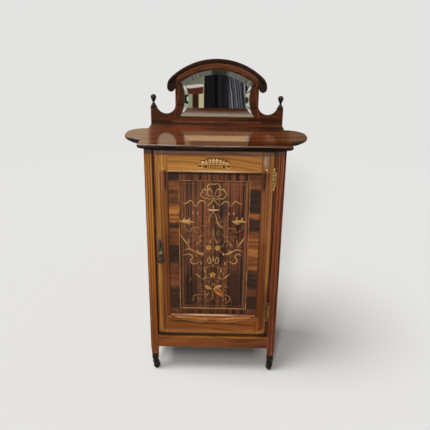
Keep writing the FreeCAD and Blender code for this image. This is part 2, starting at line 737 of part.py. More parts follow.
def leaf_fret(middle):
    """Face of the ornamental leaf: overlapping rounds that grow smaller from the middle outwards, pierced."""
    base_x = leg_inner - HINGE_INSET / 2
    half = HINGE_LENGTH / 2
    depth = (front - 2 * BRASS, door_back)
    stem_half = half - LEAF_STEM_END
    stem_x = (base_x - LEAF_STEM / 2, base_x + LEAF_STEM / 2)
    plate = block(stem_x, depth, (middle - stem_half, middle + stem_half))
    spine = block((base_x, hinge_x), depth, (middle - barrel_half(), middle + barrel_half()))
    plate = plate.fuse(spine)
    for share, radius in LEAF_ROUNDS:
        for sign in (-1, 1):
            z = middle + sign * share * (half - radius)
            plate = plate.fuse(rod(radius, (base_x, depth[0], z), (base_x, depth[1], z)))
    for share, radius in LEAF_PIERCINGS:
        for sign in (-1, 1):
            z = middle + sign * share * half
            plate = plate.cut(rod(radius, (base_x, depth[0], z), (base_x, depth[1], z)))
    return plate


def knuckle_spans(middle, first):
    """Every second knuckle of the barrel, as pairs of heights with a small gap to the neighbours."""
    low = middle - barrel_half()
    starts = [low + number * KNUCKLE_LENGTH for number in range(first, KNUCKLE_COUNT, 2)]
    return [(start + KNUCKLE_GAP / 2, start + KNUCKLE_LENGTH - KNUCKLE_GAP / 2) for start in starts]


def barrel(radius, spans, grow):
    """Rods round the hinge's pin over some spans of height, each grown at both ends."""
    return [
        rod(radius, (hinge_x, hinge_y, low - grow), (hinge_x, hinge_y, high + grow))
        for low, high in spans
    ]


def hinge(middle, slab):
    """Door leaf, fixed leaf and pin of one hinge. The door leaf follows the moulded face of the slab."""
    door_spans = knuckle_spans(middle, 0)
    fixed_spans = knuckle_spans(middle, 1)
    ends = [(middle - barrel_half(), middle + barrel_half())]
    room = KNUCKLE_RADIUS + KNUCKLE_GAP
    skin = slab.copy()
    skin.translate(Vector(0, -BRASS, 0))
    leaf = skin.common(leaf_fret(middle)).cut(slab)
    for hole in barrel(room, fixed_spans, KNUCKLE_GAP):
        leaf = leaf.cut(hole)
    door_leaf = join(leaf, *barrel(KNUCKLE_RADIUS, door_spans, 0))
    door_leaf = door_leaf.cut(barrel(HINGE_PIN_RADIUS + PIN_CLEARANCE, ends, 0)[0])
    butt = block((leg_inner - BRASS, leg_inner), (hinge_y, front + BUTT_DEPTH), ends[0])
    for hole in barrel(room, door_spans, KNUCKLE_GAP):
        butt = butt.cut(hole)
    fixed = join(butt, *barrel(KNUCKLE_RADIUS, fixed_spans, 0))
    pin = barrel(HINGE_PIN_RADIUS, ends, 0)[0]
    return whole(door_leaf), whole(fixed.cut(pin)), pin


# ------------------------------------------------------------------ handle and lock
def keyhole(y):
    """Round and slot of a keyhole, between two depths."""
    z = KEYHOLE_HEIGHT
    round_part = rod(KEYHOLE_RADIUS, (handle_x, y[0], z), (handle_x, y[1], z))
    half = KEYHOLE_SLOT / 2
    return join(round_part, block((handle_x - half, handle_x + half), y, (z - KEYHOLE_DROP, z)))


def handle_plate():
    """Escutcheon: a waisted plate with pointed ends, pierced for the key."""
    half = PLATE_WIDTH / 2
    waist = PLATE_WAIST / 2
    top = KEYHOLE_HEIGHT + PLATE_ABOVE
    low = KEYHOLE_HEIGHT - PLATE_BELOW
    middle = (KEYHOLE_HEIGHT + stud_z) / 2
    outline = Outline(0, top)
    outline.sagged((half, KEYHOLE_HEIGHT), -PLATE_HEAD_SAG)
    outline.sagged((waist, middle), PLATE_WAIST_SAG).sagged((half, stud_z), PLATE_WAIST_SAG)
    outline.sagged((0, low), PLATE_FOOT_SAG)
    outline.sagged((-half, stud_z), PLATE_FOOT_SAG)
    outline.sagged((-waist, middle), PLATE_WAIST_SAG).sagged((-half, KEYHOLE_HEIGHT), PLATE_WAIST_SAG)
    outline.sagged((0, top), -PLATE_HEAD_SAG)
    place = lambda u, v: Vector(handle_x + u, plate_face, v)
    return whole(outline.prism(place, (0, PLATE_THICKNESS, 0)).cut(keyhole((plate_face, front))))


def handle_stud():
    """Turned stud with a bevelled nose, and the cross pin that carries the drop."""
    nose_y = drop_pin_y - STUD_NOSE
    x, z = handle_x, stud_z
    outward = Vector(0, -1, 0)
    foot = Part.makeCone(STUD_FOOT_RADIUS, STUD_RADIUS, STUD_FOOT, Vector(x, plate_face, z), outward)
    bevel_y = nose_y + STUD_NOSE_BEVEL
    shank = rod(STUD_RADIUS, (x, plate_face, z), (x, bevel_y, z))
    nose_radius = STUD_RADIUS - STUD_NOSE_BEVEL
    nose = Part.makeCone(STUD_RADIUS, nose_radius, STUD_NOSE_BEVEL, Vector(x, bevel_y, z), outward)
    half = DROP_PIN_LENGTH / 2
    pin = rod(DROP_PIN_RADIUS, (x - half, drop_pin_y, z), (x + half, drop_pin_y, z))
    return join(foot, shank, nose, pin)


def drop_handle():
    """Pierced pendant that swings on the stud's pin between two lugs."""
    lug_inner = STUD_RADIUS + DROP_LUG_CLEARANCE
    lug_outer = lug_inner + DROP_LUG
    half = DROP_WIDTH / 2
    clear = STUD_RADIUS + 2 * DROP_LUG_CLEARANCE
    belly = DROP_LENGTH - half - DROP_TIP_RADIUS
    tip = (0, DROP_TIP_RADIUS - DROP_LENGTH)
    face = Outline(-lug_outer, 0).line(lug_outer, 0).line(lug_outer, -clear)
    face.sagged((half, -belly), -DROP_WAIST_SAG).sagged((DROP_TIP_RADIUS, tip[1]), DROP_BELLY_SAG)
    face.round(tip, (0, -DROP_LENGTH)).round(tip, (-DROP_TIP_RADIUS, tip[1]))
    face.sagged((-half, -belly), DROP_BELLY_SAG).sagged((-lug_outer, -clear), -DROP_WAIST_SAG)
    place = lambda u, v: Vector(handle_x + u, drop_pin_y - DROP_THICKNESS / 2, stud_z + v)
    plate = face.prism(place, (0, DROP_THICKNESS, 0))
    for sign in (-1, 1):
        hole_x = handle_x + sign * DROP_HOLE_SPACING / 2
        hole_z = stud_z - belly
        ends = [(hole_x, drop_pin_y + side * DROP_THICKNESS, hole_z) for side in (-1, 1)]
        plate = plate.cut(rod(DROP_HOLE_RADIUS, *ends))
        lug_x = [handle_x + sign * offset for offset in (lug_inner, lug_outer)]
        plate = plate.fuse(rod(DROP_EYE_RADIUS, *[(x, drop_pin_y, stud_z) for x in lug_x]))
    slot = block(
        (handle_x - lug_inner, handle_x + lug_inner),
        (drop_pin_y - DROP_THICKNESS, drop_pin_y + DROP_THICKNESS),
        (stud_z - clear, stud_z + clear),
    )
    bore = [(handle_x + sign * DROP_WIDTH, drop_pin_y, stud_z) for sign in (-1, 1)]
    return whole(plate.cut(slot).cut(rod(DROP_PIN_RADIUS + PIN_CLEARANCE, *bore)))


def bolt_block(clearance, reach):
    """The bolt, or the slot that it runs in when given a clearance and some extra reach to the left."""
    y_middle = door_back - LOCK_DEPTH / 2
    half_y = BOLT_THICKNESS / 2 + clearance
    half_z = BOLT_HEIGHT / 2 + clearance
    x = (-door_half - reach, -door_half + BOLT_LENGTH + clearance)
    z = KEYHOLE_HEIGHT
    return block(x, (y_middle - half_y, y_middle + half_y), (z - half_z, z + half_z))


def lock():
    """Cut lock let into the back of the left stile, with its selvedge along the door's edge."""
    y = (door_back - LOCK_DEPTH, door_back)
    z = KEYHOLE_HEIGHT
    case = block((-door_half, -door_half + LOCK_WIDTH), y, (z - LOCK_HEIGHT / 2, z + LOCK_HEIGHT / 2))
    half = LOCK_SELVEDGE_HEIGHT / 2
    selvedge = block((-door_half, -door_half + LOCK_SELVEDGE), y, (z - half, z + half))
    return join(case, selvedge)


def strike():
    """Plate let into the left leg, slotted for the bolt."""
    y_middle = door_back - LOCK_DEPTH / 2
    y = (y_middle - STRIKE_WIDTH / 2, y_middle + STRIKE_WIDTH / 2)
    z = (KEYHOLE_HEIGHT - STRIKE_HEIGHT / 2, KEYHOLE_HEIGHT + STRIKE_HEIGHT / 2)
    return block((-leg_inner - STRIKE_THICKNESS, -leg_inner), y, z)


# ------------------------------------------------------------------ gallery, crest, mirror and finials
def gallery_outline():
    """Front outline of the gallery board: shoulders, round hollows, neck, and the arch under the crest."""
    cusp_z = scoop_z - math.sqrt(SCOOP_RADIUS ** 2 - SCOOP_REACH ** 2)
    inner_half = crest_half - CREST_CAP
    junction = math.radians(haunch_angle)
    arch_radius = crest_radius - CREST_CAP
    join_x = arch_radius * math.cos(junction)
    join_z = crest_centre_z + arch_radius * math.sin(junction)
    outline = Outline(-gallery_half, seat_z).line(gallery_half, seat_z)
    outline.line(gallery_half, shoulder_z).line(gallery_half - SHOULDER_FLAT, shoulder_z)
    outline.sagged((cusp_x, cusp_z), CUSP_SAG)
    outline.round((scoop_x, scoop_z), (scoop_x, top_z + SCOOP_FLOOR))
    outline.round((scoop_x, scoop_z), (neck_half, scoop_z))
    outline.line(neck_half, volute_z).line(inner_half, volute_z).line(inner_half, spring_z)
    outline.round((haunch_x, spring_z), (join_x, join_z))
    outline.arc((0, crest_centre_z + arch_radius), (-join_x, join_z))
    outline.round((-haunch_x, spring_z), (-inner_half, spring_z))
    outline.line(-inner_half, volute_z).line(-neck_half, volute_z).line(-neck_half, scoop_z)
    outline.round((-scoop_x, scoop_z), (-scoop_x, top_z + SCOOP_FLOOR))
    outline.round((-scoop_x, scoop_z), (-cusp_x, cusp_z))
    outline.sagged((SHOULDER_FLAT - gallery_half, shoulder_z), CUSP_SAG)
    return outline.line(-gallery_half, shoulder_z)


def mirror_outline(grow):
    """Sight opening of the mirror, or the same outline grown or shrunk all round."""
    foot = (mirror_foot_half + grow, top_z + MIRROR_SILL - grow)
    head = (mirror_foot_half - MIRROR_HEAD_INSET + grow, mirror_head_z + grow)
    outline = Outline(-foot[0], foot[1]).line(*foot)
    outline.sagged(head, MIRROR_SIDE_SAG)
    outline.arc((0, mirror_crown_z + grow), (-head[0], head[1]))
    return outline.sagged((-foot[0], foot[1]), MIRROR_SIDE_SAG)


def gallery_board():
    """Board with the mirror's opening and, behind it, the rebate for glass and back."""
    board = gallery_outline().prism(on_front(gallery_face), (0, GALLERY_THICKNESS, 0))
    board = board.cut(mirror_outline(0).prism(on_front(gallery_face), (0, GALLERY_THICKNESS, 0)))
    shoulder_y = gallery_face + MIRROR_REBATE_DEPTH
    rebate = mirror_outline(MIRROR_REBATE).prism(on_front(shoulder_y), (0, top_back - shoulder_y, 0))
    board = board.cut(rebate)
    for place in finial_places():
        board = board.cut(finial_dowel(place))
    return whole(board)


def mirror_glass():
    """Plate with a flat border in the rebate and a wide bevel up to the raised face."""
    edge = MIRROR_REBATE - MIRROR_PLAY
    land_y = gallery_face + MIRROR_REBATE_DEPTH
    plate = mirror_outline(edge).prism(on_front(land_y), (0, MIRROR_EDGE, 0))
    wires = [
        mirror_outline(0).wire(on_front(land_y)),
        mirror_outline(-MIRROR_BEVEL).wire(on_front(land_y - MIRROR_BEVEL_DROP)),
    ]
    return join(plate, Part.makeLoft(wires, True, True))


def mirror_back():
    back_y = gallery_face + MIRROR_REBATE_DEPTH + MIRROR_EDGE
    return mirror_outline(MIRROR_REBATE - MIRROR_PLAY).prism(on_front(back_y), (0, MIRROR_BACK, 0))


def crest_section(radius):
    """Section of the crest on a radius of the arch: capping, quirk, cove and a small fillet."""
    face_y = gallery_face - CREST_PROJECTION
    inner = radius - CREST_BAND
    cove_start = radius - CREST_CAP
    cove_y = face_y + CREST_QUIRK
    fillet_y = gallery_face - CREST_FOOT
    section = Outline(radius, top_back).line(radius, face_y).line(cove_start, face_y).line(cove_start, cove_y)
    section.sagged((inner + CREST_FOOT, fillet_y), -CREST_COVE_SAG)
    section.line(inner, fillet_y).line(inner, gallery_face)
    return section.line(cove_start, gallery_face).line(cove_start, top_back)


def volute():
    """Scroll at the right foot of the crest: a round boss, a band that winds in on it, and an eye."""
    face_y = gallery_face - CREST_PROJECTION
    centre_x = crest_half - VOLUTE_RADIUS
    boss_radius = VOLUTE_RADIUS * (1 + VOLUTE_DECAY) / 2
    boss_x = crest_half - boss_radius
    pieces = [rod(boss_radius, (boss_x, face_y + VOLUTE_RELIEF, volute_z), (boss_x, top_back, volute_z))]
    side = 1
    for number in range(VOLUTE_HALF_TURNS):
        outer = [VOLUTE_RADIUS * VOLUTE_DECAY ** (number + step) for step in (0, 1)]
        inner = [outer[step] - CREST_CAP * VOLUTE_BAND_DECAY ** (number + step) for step in (0, 1)]
        turn = Outline(centre_x + side * outer[0], volute_z)
        through = (centre_x + side * (outer[0] - outer[1]) / 2, volute_z - side * sum(outer) / 2)
        turn.arc(through, (centre_x - side * outer[1], volute_z))
        turn.line(centre_x - side * inner[1], volute_z)
        through = (centre_x + side * (inner[0] - inner[1]) / 2, volute_z - side * sum(inner) / 2)
        turn.arc(through, (centre_x + side * inner[0], volute_z))
        pieces.append(turn.prism(on_front(face_y), (0, VOLUTE_RELIEF, 0)))
        side = -side
    pieces.append(rod(VOLUTE_EYE, (centre_x, face_y, volute_z), (centre_x, top_back, volute_z)))
    drop = block((crest_half - CREST_CAP, crest_half), (face_y, top_back), (volute_z, spring_z))
    return pieces + [drop]


def crest():
    """Arched cornice: the section swept round the long arc and both haunches, ending in volutes."""
    centre = (0, 0, crest_centre_z)
    long_arc = crest_section(crest_radius).face(lambda u, v: Vector(u, v, crest_centre_z))
    long_arc = long_arc.revolve(Vector(*centre), Vector(0, -1, 0), 180 - 2 * haunch_angle)
    long_arc = swung(long_arc, haunch_angle, centre)
    haunch = crest_section(HAUNCH_RADIUS).face(lambda u, v: Vector(haunch_x + u, v, spring_z))
    haunch = haunch.revolve(Vector(haunch_x, 0, spring_z), Vector(0, -1, 0), haunch_angle)
    right = join(haunch, *volute())
    whole_crest = join(long_arc, right, mirrored(right))
    envelope = gallery_outline().prism(on_front(gallery_face), (0, GALLERY_THICKNESS, 0))
    return whole(whole_crest.cut(envelope))


def finial_places():
    x = gallery_half - SHOULDER_FLAT / 2
    y = top_back - FINIAL_BALL_RADIUS
    return [(sign * x, y, shoulder_z) for sign in (-1, 1)]


def finial_dowel(place):
    x, y, z = place
    return rod(FINIAL_DOWEL_RADIUS, (x, y, z - FINIAL_DOWEL), (x, y, z))


def finial(place):
    """Turned drop, its point down, on a waisted neck and a spreading base, dowelled into the shoulder."""
    ball_z = FINIAL_HEIGHT - FINIAL_BALL_RADIUS
    reach = math.hypot(FINIAL_NECK_RADIUS, ball_z - FINIAL_NECK_HEIGHT)
    lean = math.asin(FINIAL_NECK_RADIUS / reach)
    touch = lean + math.acos(FINIAL_BALL_RADIUS / reach)
    profile = Outline(0, 0).line(FINIAL_BASE_RADIUS, 0).line(FINIAL_BASE_RADIUS, FINIAL_BASE)
    profile.sagged((FINIAL_NECK_RADIUS, FINIAL_NECK_HEIGHT), -FINIAL_NECK_SAG)
    profile.line(FINIAL_BALL_RADIUS * math.sin(touch), ball_z - FINIAL_BALL_RADIUS * math.cos(touch))
    profile.arc((FINIAL_BALL_RADIUS, ball_z), (0, FINIAL_HEIGHT))
    return join(turned(profile, place), finial_dowel(place))


# ------------------------------------------------------------------ castors
# Drawn about a stem on the Z axis with the wheel trailing towards +Y, then turned and set under a leg.
def castor_cup():
    """Square socket round the foot of a leg, with a hole for the stem in its floor."""
    half = LEG_FOOT / 2
    inner = half - CUP_WALL
    cup = block((-half, half), (-half, half), (cup_z, cup_rim))
    cup = cup.cut(block((-inner, inner), (-inner, inner), (foot_z, cup_rim)))
    return whole(cup.cut(rod(STEM_RADIUS + STEM_CLEARANCE, (0, 0, cup_z), (0, 0, foot_z))))


def castor_fork():
    """Swivelling fork: two cheeks down to the axle behind the stem, a crown, a collar and the stem."""
    inner = WHEEL_WIDTH / 2 + WHEEL_CLEARANCE
    outer = inner + FORK_CHEEK
    half = FORK_WIDTH / 2
    cheek = Outline(TRAIL - half, axle_z)
    cheek.round((TRAIL, axle_z), (TRAIL, axle_z - half)).round((TRAIL, axle_z), (TRAIL + half, axle_z))
    cheek.line(COLLAR_RADIUS, crown_z).line(COLLAR_RADIUS, collar_z)
    cheek.line(-COLLAR_RADIUS, collar_z).line(-COLLAR_RADIUS, crown_z)
    solid = cheek.prism(on_side(-outer), (2 * outer, 0, 0))
    reach = 2 * WHEEL_RADIUS
    fork = solid.cut(block((-inner, inner), (-reach, TRAIL + reach), (0, crown_z)))
    fork = fork.common(rod(FORK_ROUND, (0, TRAIL / 2, 0), (0, TRAIL / 2, collar_z)))
    fork = join(
        fork,
        rod(COLLAR_RADIUS, (0, 0, collar_z), (0, 0, collar_z + COLLAR_HEIGHT)),
        rod(STEM_RADIUS, (0, 0, collar_z), (0, 0, cup_z + STEM_LENGTH)),
    )
    return whole(fork.cut(rod(AXLE_RADIUS, (-outer, TRAIL, axle_z), (outer, TRAIL, axle_z))))


def castor_axle():
    """Pin riveted over outside both cheeks."""
    outer = WHEEL_WIDTH / 2 + WHEEL_CLEARANCE + FORK_CHEEK
    head = outer + AXLE_HEAD
    pin = rod(AXLE_RADIUS, (-outer, TRAIL, axle_z), (outer, TRAIL, axle_z))
    left = rod(AXLE_HEAD_RADIUS, (-head, TRAIL, axle_z), (-outer, TRAIL, axle_z))
    return join(pin, left, mirrored(left))


def castor_wheel():
    """Wheel with a bevelled tread and dished sides, bored for the axle."""
    half = WHEEL_WIDTH / 2
    bore = AXLE_RADIUS + PIN_CLEARANCE
    rim = WHEEL_RADIUS - WHEEL_BEVEL
    hub = WHEEL_HUB_RADIUS
    web = half - WHEEL_DISH
    tread = half - WHEEL_BEVEL
    profile = Outline(-half, bore).line(-half, hub).line(-web, hub).line(-web, rim - WHEEL_DISH * 2)
    profile.line(-half, rim - WHEEL_DISH).line(-half, rim).line(-tread, WHEEL_RADIUS)
    profile.line(tread, WHEEL_RADIUS).line(half, rim)
    profile.line(half, rim - WHEEL_DISH).line(web, rim - WHEEL_DISH * 2).line(web, hub)
    profile.line(half, hub).line(half, bore)
    face = profile.face(lambda u, v: Vector(u, TRAIL, axle_z + v))
    return face.revolve(Vector(0, TRAIL, axle_z), Vector(1, 0, 0), 360)


def under_leg(shape, name):
    """A castor's piece turned about the stem and set under its leg."""
    placed = shape.copy()
    placed.rotate(Vector(0, 0, 0), Vector(0, 0, 1), CASTOR_TURNS[name])
    placed.translate(Vector(*LEG_PLACES[name], 0))
    return placed


# ------------------------------------------------------------------ the whole cabinet
def build():
    """Every piece by its node's name."""
    nodes, leg_cuts = carcass_frame()
    for name in LEG_PLACES:
        leg = leg_blank(name)
        for cut in leg_cuts:
            leg = leg.cut(cut)
        nodes[f"{name}_leg"] = leg
    bolt_path = bolt_block(BOLT_CLEARANCE, BOLT_THROW + BOLT_CLEARANCE)
    leg = nodes["front_left_leg"].cut(strike()).cut(bolt_path)
    nodes["front_left_leg"] = whole(leg)
    nodes["strike_plate"] = whole(strike().cut(bolt_path))
    nodes["cabinet_floor"] = cabinet_floor()
    for name, level in zip(SHELF_NAMES, shelf_levels()):
        nodes[name] = shelf(level)
    nodes["shelf_bearers"] = shelf_bearers()
    nodes["glue_blocks"] = glue_blocks()
    nodes["top_board"] = top_board()
    nodes["gallery_board"] = gallery_board()
    nodes["crest"] = crest()
    nodes["mirror_glass"] = mirror_glass()
    nodes["mirror_back"] = mirror_back()
    for name, place in zip(("finial_left", "finial_right"), finial_places()):
        nodes[name] = finial(place)

    slab = door_slab()
    nodes.update(door_frame(slab))
    levels = {
        "upper": door_top - HINGE_TOP - HINGE_LENGTH / 2,
        "lower": door_bottom + HINGE_BOTTOM + HINGE_LENGTH / 2,
    }
    for name, middle in levels.items():
        door_leaf, fixed_leaf, pin = hinge(middle, slab)
        nodes[f"hinge_door_leaf_{name}"] = door_leaf
        nodes[f"hinge_fixed_leaf_{name}"] = fixed_leaf
        nodes[f"hinge_pin_{name}"] = pin
    slot = bolt_block(BOLT_CLEARANCE, 0)
    key_socket = keyhole((front, door_back - LOCK_BACK))
    nodes["lock_case"] = whole(lock().cut(slot).cut(key_socket))
    nodes["lock_bolt"] = bolt_block(0, 0)
    nodes["door_stile_left"] = whole(nodes["door_stile_left"].cut(lock()).cut(key_socket))
    nodes["handle_plate"] = handle_plate()
    nodes["handle_stud"] = handle_stud()
    nodes["drop_handle"] = drop_handle()

    cups = []
    for name, place in LEG_PLACES.items():
        cup = castor_cup()
        cup.translate(Vector(*place, 0))
        cups.append(cup)
        nodes[f"castor_fork_{name}"] = under_leg(castor_fork(), name)
        nodes[f"castor_axle_{name}"] = under_leg(castor_axle(), name)
        nodes[f"castor_wheel_{name}"] = under_leg(castor_wheel(), name)
    nodes["castor_cups"] = Part.makeCompound(cups)
    return nodes


os.makedirs("parts", exist_ok=True)
for node, solid in build().items():
    solid.exportStep(f"parts/{node}.step")
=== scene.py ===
"""Dresses the chiffonier: woods, stringing, marquetry, carving, brass, mirror plate, castors and studio."""

import math
from functools import reduce
from operator import mul

import bmesh
import bpy
from bpy.props import FloatProperty, FloatVectorProperty, PointerProperty
from mathutils import Matrix, Vector


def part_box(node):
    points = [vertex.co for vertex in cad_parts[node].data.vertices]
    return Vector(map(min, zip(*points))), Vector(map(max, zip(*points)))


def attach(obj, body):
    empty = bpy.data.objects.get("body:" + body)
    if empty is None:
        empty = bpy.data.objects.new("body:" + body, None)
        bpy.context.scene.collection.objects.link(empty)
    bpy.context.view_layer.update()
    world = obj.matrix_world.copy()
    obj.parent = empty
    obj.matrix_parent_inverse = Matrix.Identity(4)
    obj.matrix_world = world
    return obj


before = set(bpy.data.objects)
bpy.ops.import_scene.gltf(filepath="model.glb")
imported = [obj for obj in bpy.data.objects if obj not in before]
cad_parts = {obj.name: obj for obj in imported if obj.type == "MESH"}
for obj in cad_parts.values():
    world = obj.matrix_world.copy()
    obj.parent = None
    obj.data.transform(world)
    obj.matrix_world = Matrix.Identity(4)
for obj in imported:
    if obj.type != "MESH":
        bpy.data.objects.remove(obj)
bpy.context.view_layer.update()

bl_info = {
    "name": "Inlaid chiffonier",
    "version": (1, 0, 0),
    "blender": (4, 5, 0),
    "location": "View3D > Sidebar > Chiffonier",
    "description": "Woods, inlay, carving, brass, mirror and studio of an inlaid music cabinet",
    "category": "Object",
}

MM = 0.001
PANEL_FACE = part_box("door_panel")[0].y
RAIL_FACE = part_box("door_bottom_rail")[0].y
GALLERY_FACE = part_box("gallery_board")[0].y
PANEL_AXIS = -3.0  # The upright axis of the marquetry, in millimetres.
# The field inside the door's outline, in metres: half its width, its foot and the round of its lower corners.
DOOR_FIELD_HALF = 0.216
DOOR_FIELD_FOOT = 0.2205
DOOR_CORNER = 0.012
# The hollows between the reeds of the front legs, in metres: the first one's place and their step.
REED_START = 0.2486
REED_STEP = 0.0096
LEG_FRONT = (-220, -160, 2)  # The front faces of the front legs, as low and high bound and soft rim.
# The strokes of a piece take turns on a few levels: their number, and in metres how far apart the levels are
# when the strokes are cut from round rods, and how far apart when they are laid.
LAYERS = 4
LAYER_GAP = 0.1
LAYER_STEP = 0.00001
STEEPNESS = 4.0  # How much steeper a stroke's edges are than those of its rod.
WELD = 0.00001  # Corners of a stroke that are nearer than this, in metres, become one.
RAISED = 1.3  # How much prouder the string at the panel's foot stands than the rest.
EYE_RAISED = 2.4  # How much prouder the flowers' eyes stand than the lowest inlay.


def paint(red, green, blue):
    """Gives the scene-linear colour of a display colour written from 0 to 255."""
    def linear(level):
        share = level / 255.0
        return share / 12.92 if share <= 0.04045 else ((share + 0.055) / 1.055) ** 2.4
    return (linear(red), linear(green), linear(blue))


def colour_property(name, description, shade):
    """Makes a colour setting whose default is written as a display colour."""
    return FloatVectorProperty(name=name, description=description, subtype="COLOR", size=3, min=0.0, max=1.0,
                               default=paint(*shade))


def angle_property(name, description, degrees):
    """Makes an angle setting whose default is written in degrees."""
    return FloatProperty(name=name, description=description, subtype="ANGLE", default=math.radians(degrees))


class ViewSettings(bpy.types.PropertyGroup):
    """Where the camera stands and how it is turned."""
    place: FloatVectorProperty(name="Place", description="Where the camera stands", subtype="XYZ", size=3,
                               default=(0.03122, -2.17533, 1.58589))
    pitch: angle_property("Pitch", "How far the camera looks down", 21.91)
    yaw: angle_property("Yaw", "How far the camera turns to the right", -0.81)
    roll: angle_property("Roll", "How far the camera leans", -0.74)
    lens: FloatProperty(name="Lens", description="Focal length in millimetres on a 36 mm sensor",
                        default=44.121)


class StageSettings(bpy.types.PropertyGroup):
    """The studio's colours and the strength of its lamps."""
    backdrop: colour_property("Backdrop", "Colour of the floor and of the space behind", (228, 227, 225))
    ambient: FloatProperty(name="Ambient", description="Level of the light from all round", default=0.16)
    key: FloatProperty(name="Key lamp", description="Strength of the soft lamp from the left", default=2.12)
    front: FloatProperty(name="Front lamp", description="Strength of the lamp beside the camera", default=1.7)
    floor_tone: FloatProperty(name="Floor tone", description="How pale the floor is near the cabinet",
                              default=0.80)


class WoodSettings(bpy.types.PropertyGroup):
    """The light and dark colours of the polished woods."""
    # The honey of the left post against the red of the right post is partly the woods' own hue and partly
    # painted light from the left.
    honey: colour_property("Honey rosewood", "Light figure of the left post", (196, 126, 58))
    honey_deep: colour_property("Honey rosewood, deep", "Dark figure of the left post", (92, 46, 19))
    red: colour_property("Red rosewood", "Light figure of the right post and the sides", (140, 70, 35))
    red_deep: colour_property("Red rosewood, deep", "Dark figure of the right post and sides", (50, 20, 12))
    golden: colour_property("Golden rail", "Light figure of the door's top rail", (190, 132, 66))
    golden_deep: colour_property("Golden rail, deep", "Dark figure of the door's top rail", (120, 72, 34))
    veneer: colour_property("Panel veneer", "Light stripes of the door panel", (124, 77, 48))
    veneer_deep: colour_property("Panel veneer, deep", "Dark stripes of the door panel", (32, 27, 27))
    gallery: colour_property("Gallery", "Light figure of the gallery board", (88, 46, 22))
    gallery_deep: colour_property("Gallery, deep", "Dark figure of the gallery board", (30, 14, 8))
    crossband: colour_property("Crossband", "Blocks of the panel's border", (104, 60, 36))


class InlaySettings(bpy.types.PropertyGroup):
    """Sizes and colours of the stringing and the marquetry."""
    stand: FloatProperty(name="Stand", description="How far the inlay stands above its ground", unit="LENGTH",
                         default=0.00015)
    string: FloatProperty(name="String width", description="Width of the stringing", unit="LENGTH",
                          default=0.0026)
    pale: colour_property("Pale wood", "Boxwood of the marquetry", (194, 152, 92))
    tan: colour_property("Tan wood", "Shaded wood of the marquetry", (160, 112, 60))


class Socket:
    """A socket in a finish, with which sums are written as sums."""

    def __init__(self, finish, socket):
        self.finish = finish
        self.socket = socket

    def maths(self, operation, other=0.0, first=None, clamp=False):
        """Adds a Math node that takes this socket first, unless another value comes first."""
        terms = {0: self, 1: other} if first is None else {0: first, 1: self}
        return self.finish.node("ShaderNodeMath", {"operation": operation, "use_clamp": clamp}, terms)

    def __add__(self, other):
        return self.maths("ADD", other)

    def __radd__(self, other):
        return self.maths("ADD", first=other)

    def __sub__(self, other):
        return self.maths("SUBTRACT", other)

    def __rsub__(self, other):
        return self.maths("SUBTRACT", first=other)

    def __mul__(self, other):
        return self.maths("MULTIPLY", other)

    def __rmul__(self, other):
        return self.maths("MULTIPLY", first=other)

    def __truediv__(self, other):
        return self.maths("DIVIDE", other)

    def __gt__(self, other):
        return self.maths("GREATER_THAN", other)

    def __abs__(self):
        return self.maths("ABSOLUTE")

    def root(self):
        return self.maths("SQRT")

    def clamped(self):
        return self.maths("ADD", clamp=True)

    def past(self, level, gain):
        """Gives how far the value is past a level, times a gain, and no less than 0 or more than 1."""
        return ((self - level) * gain).clamped()


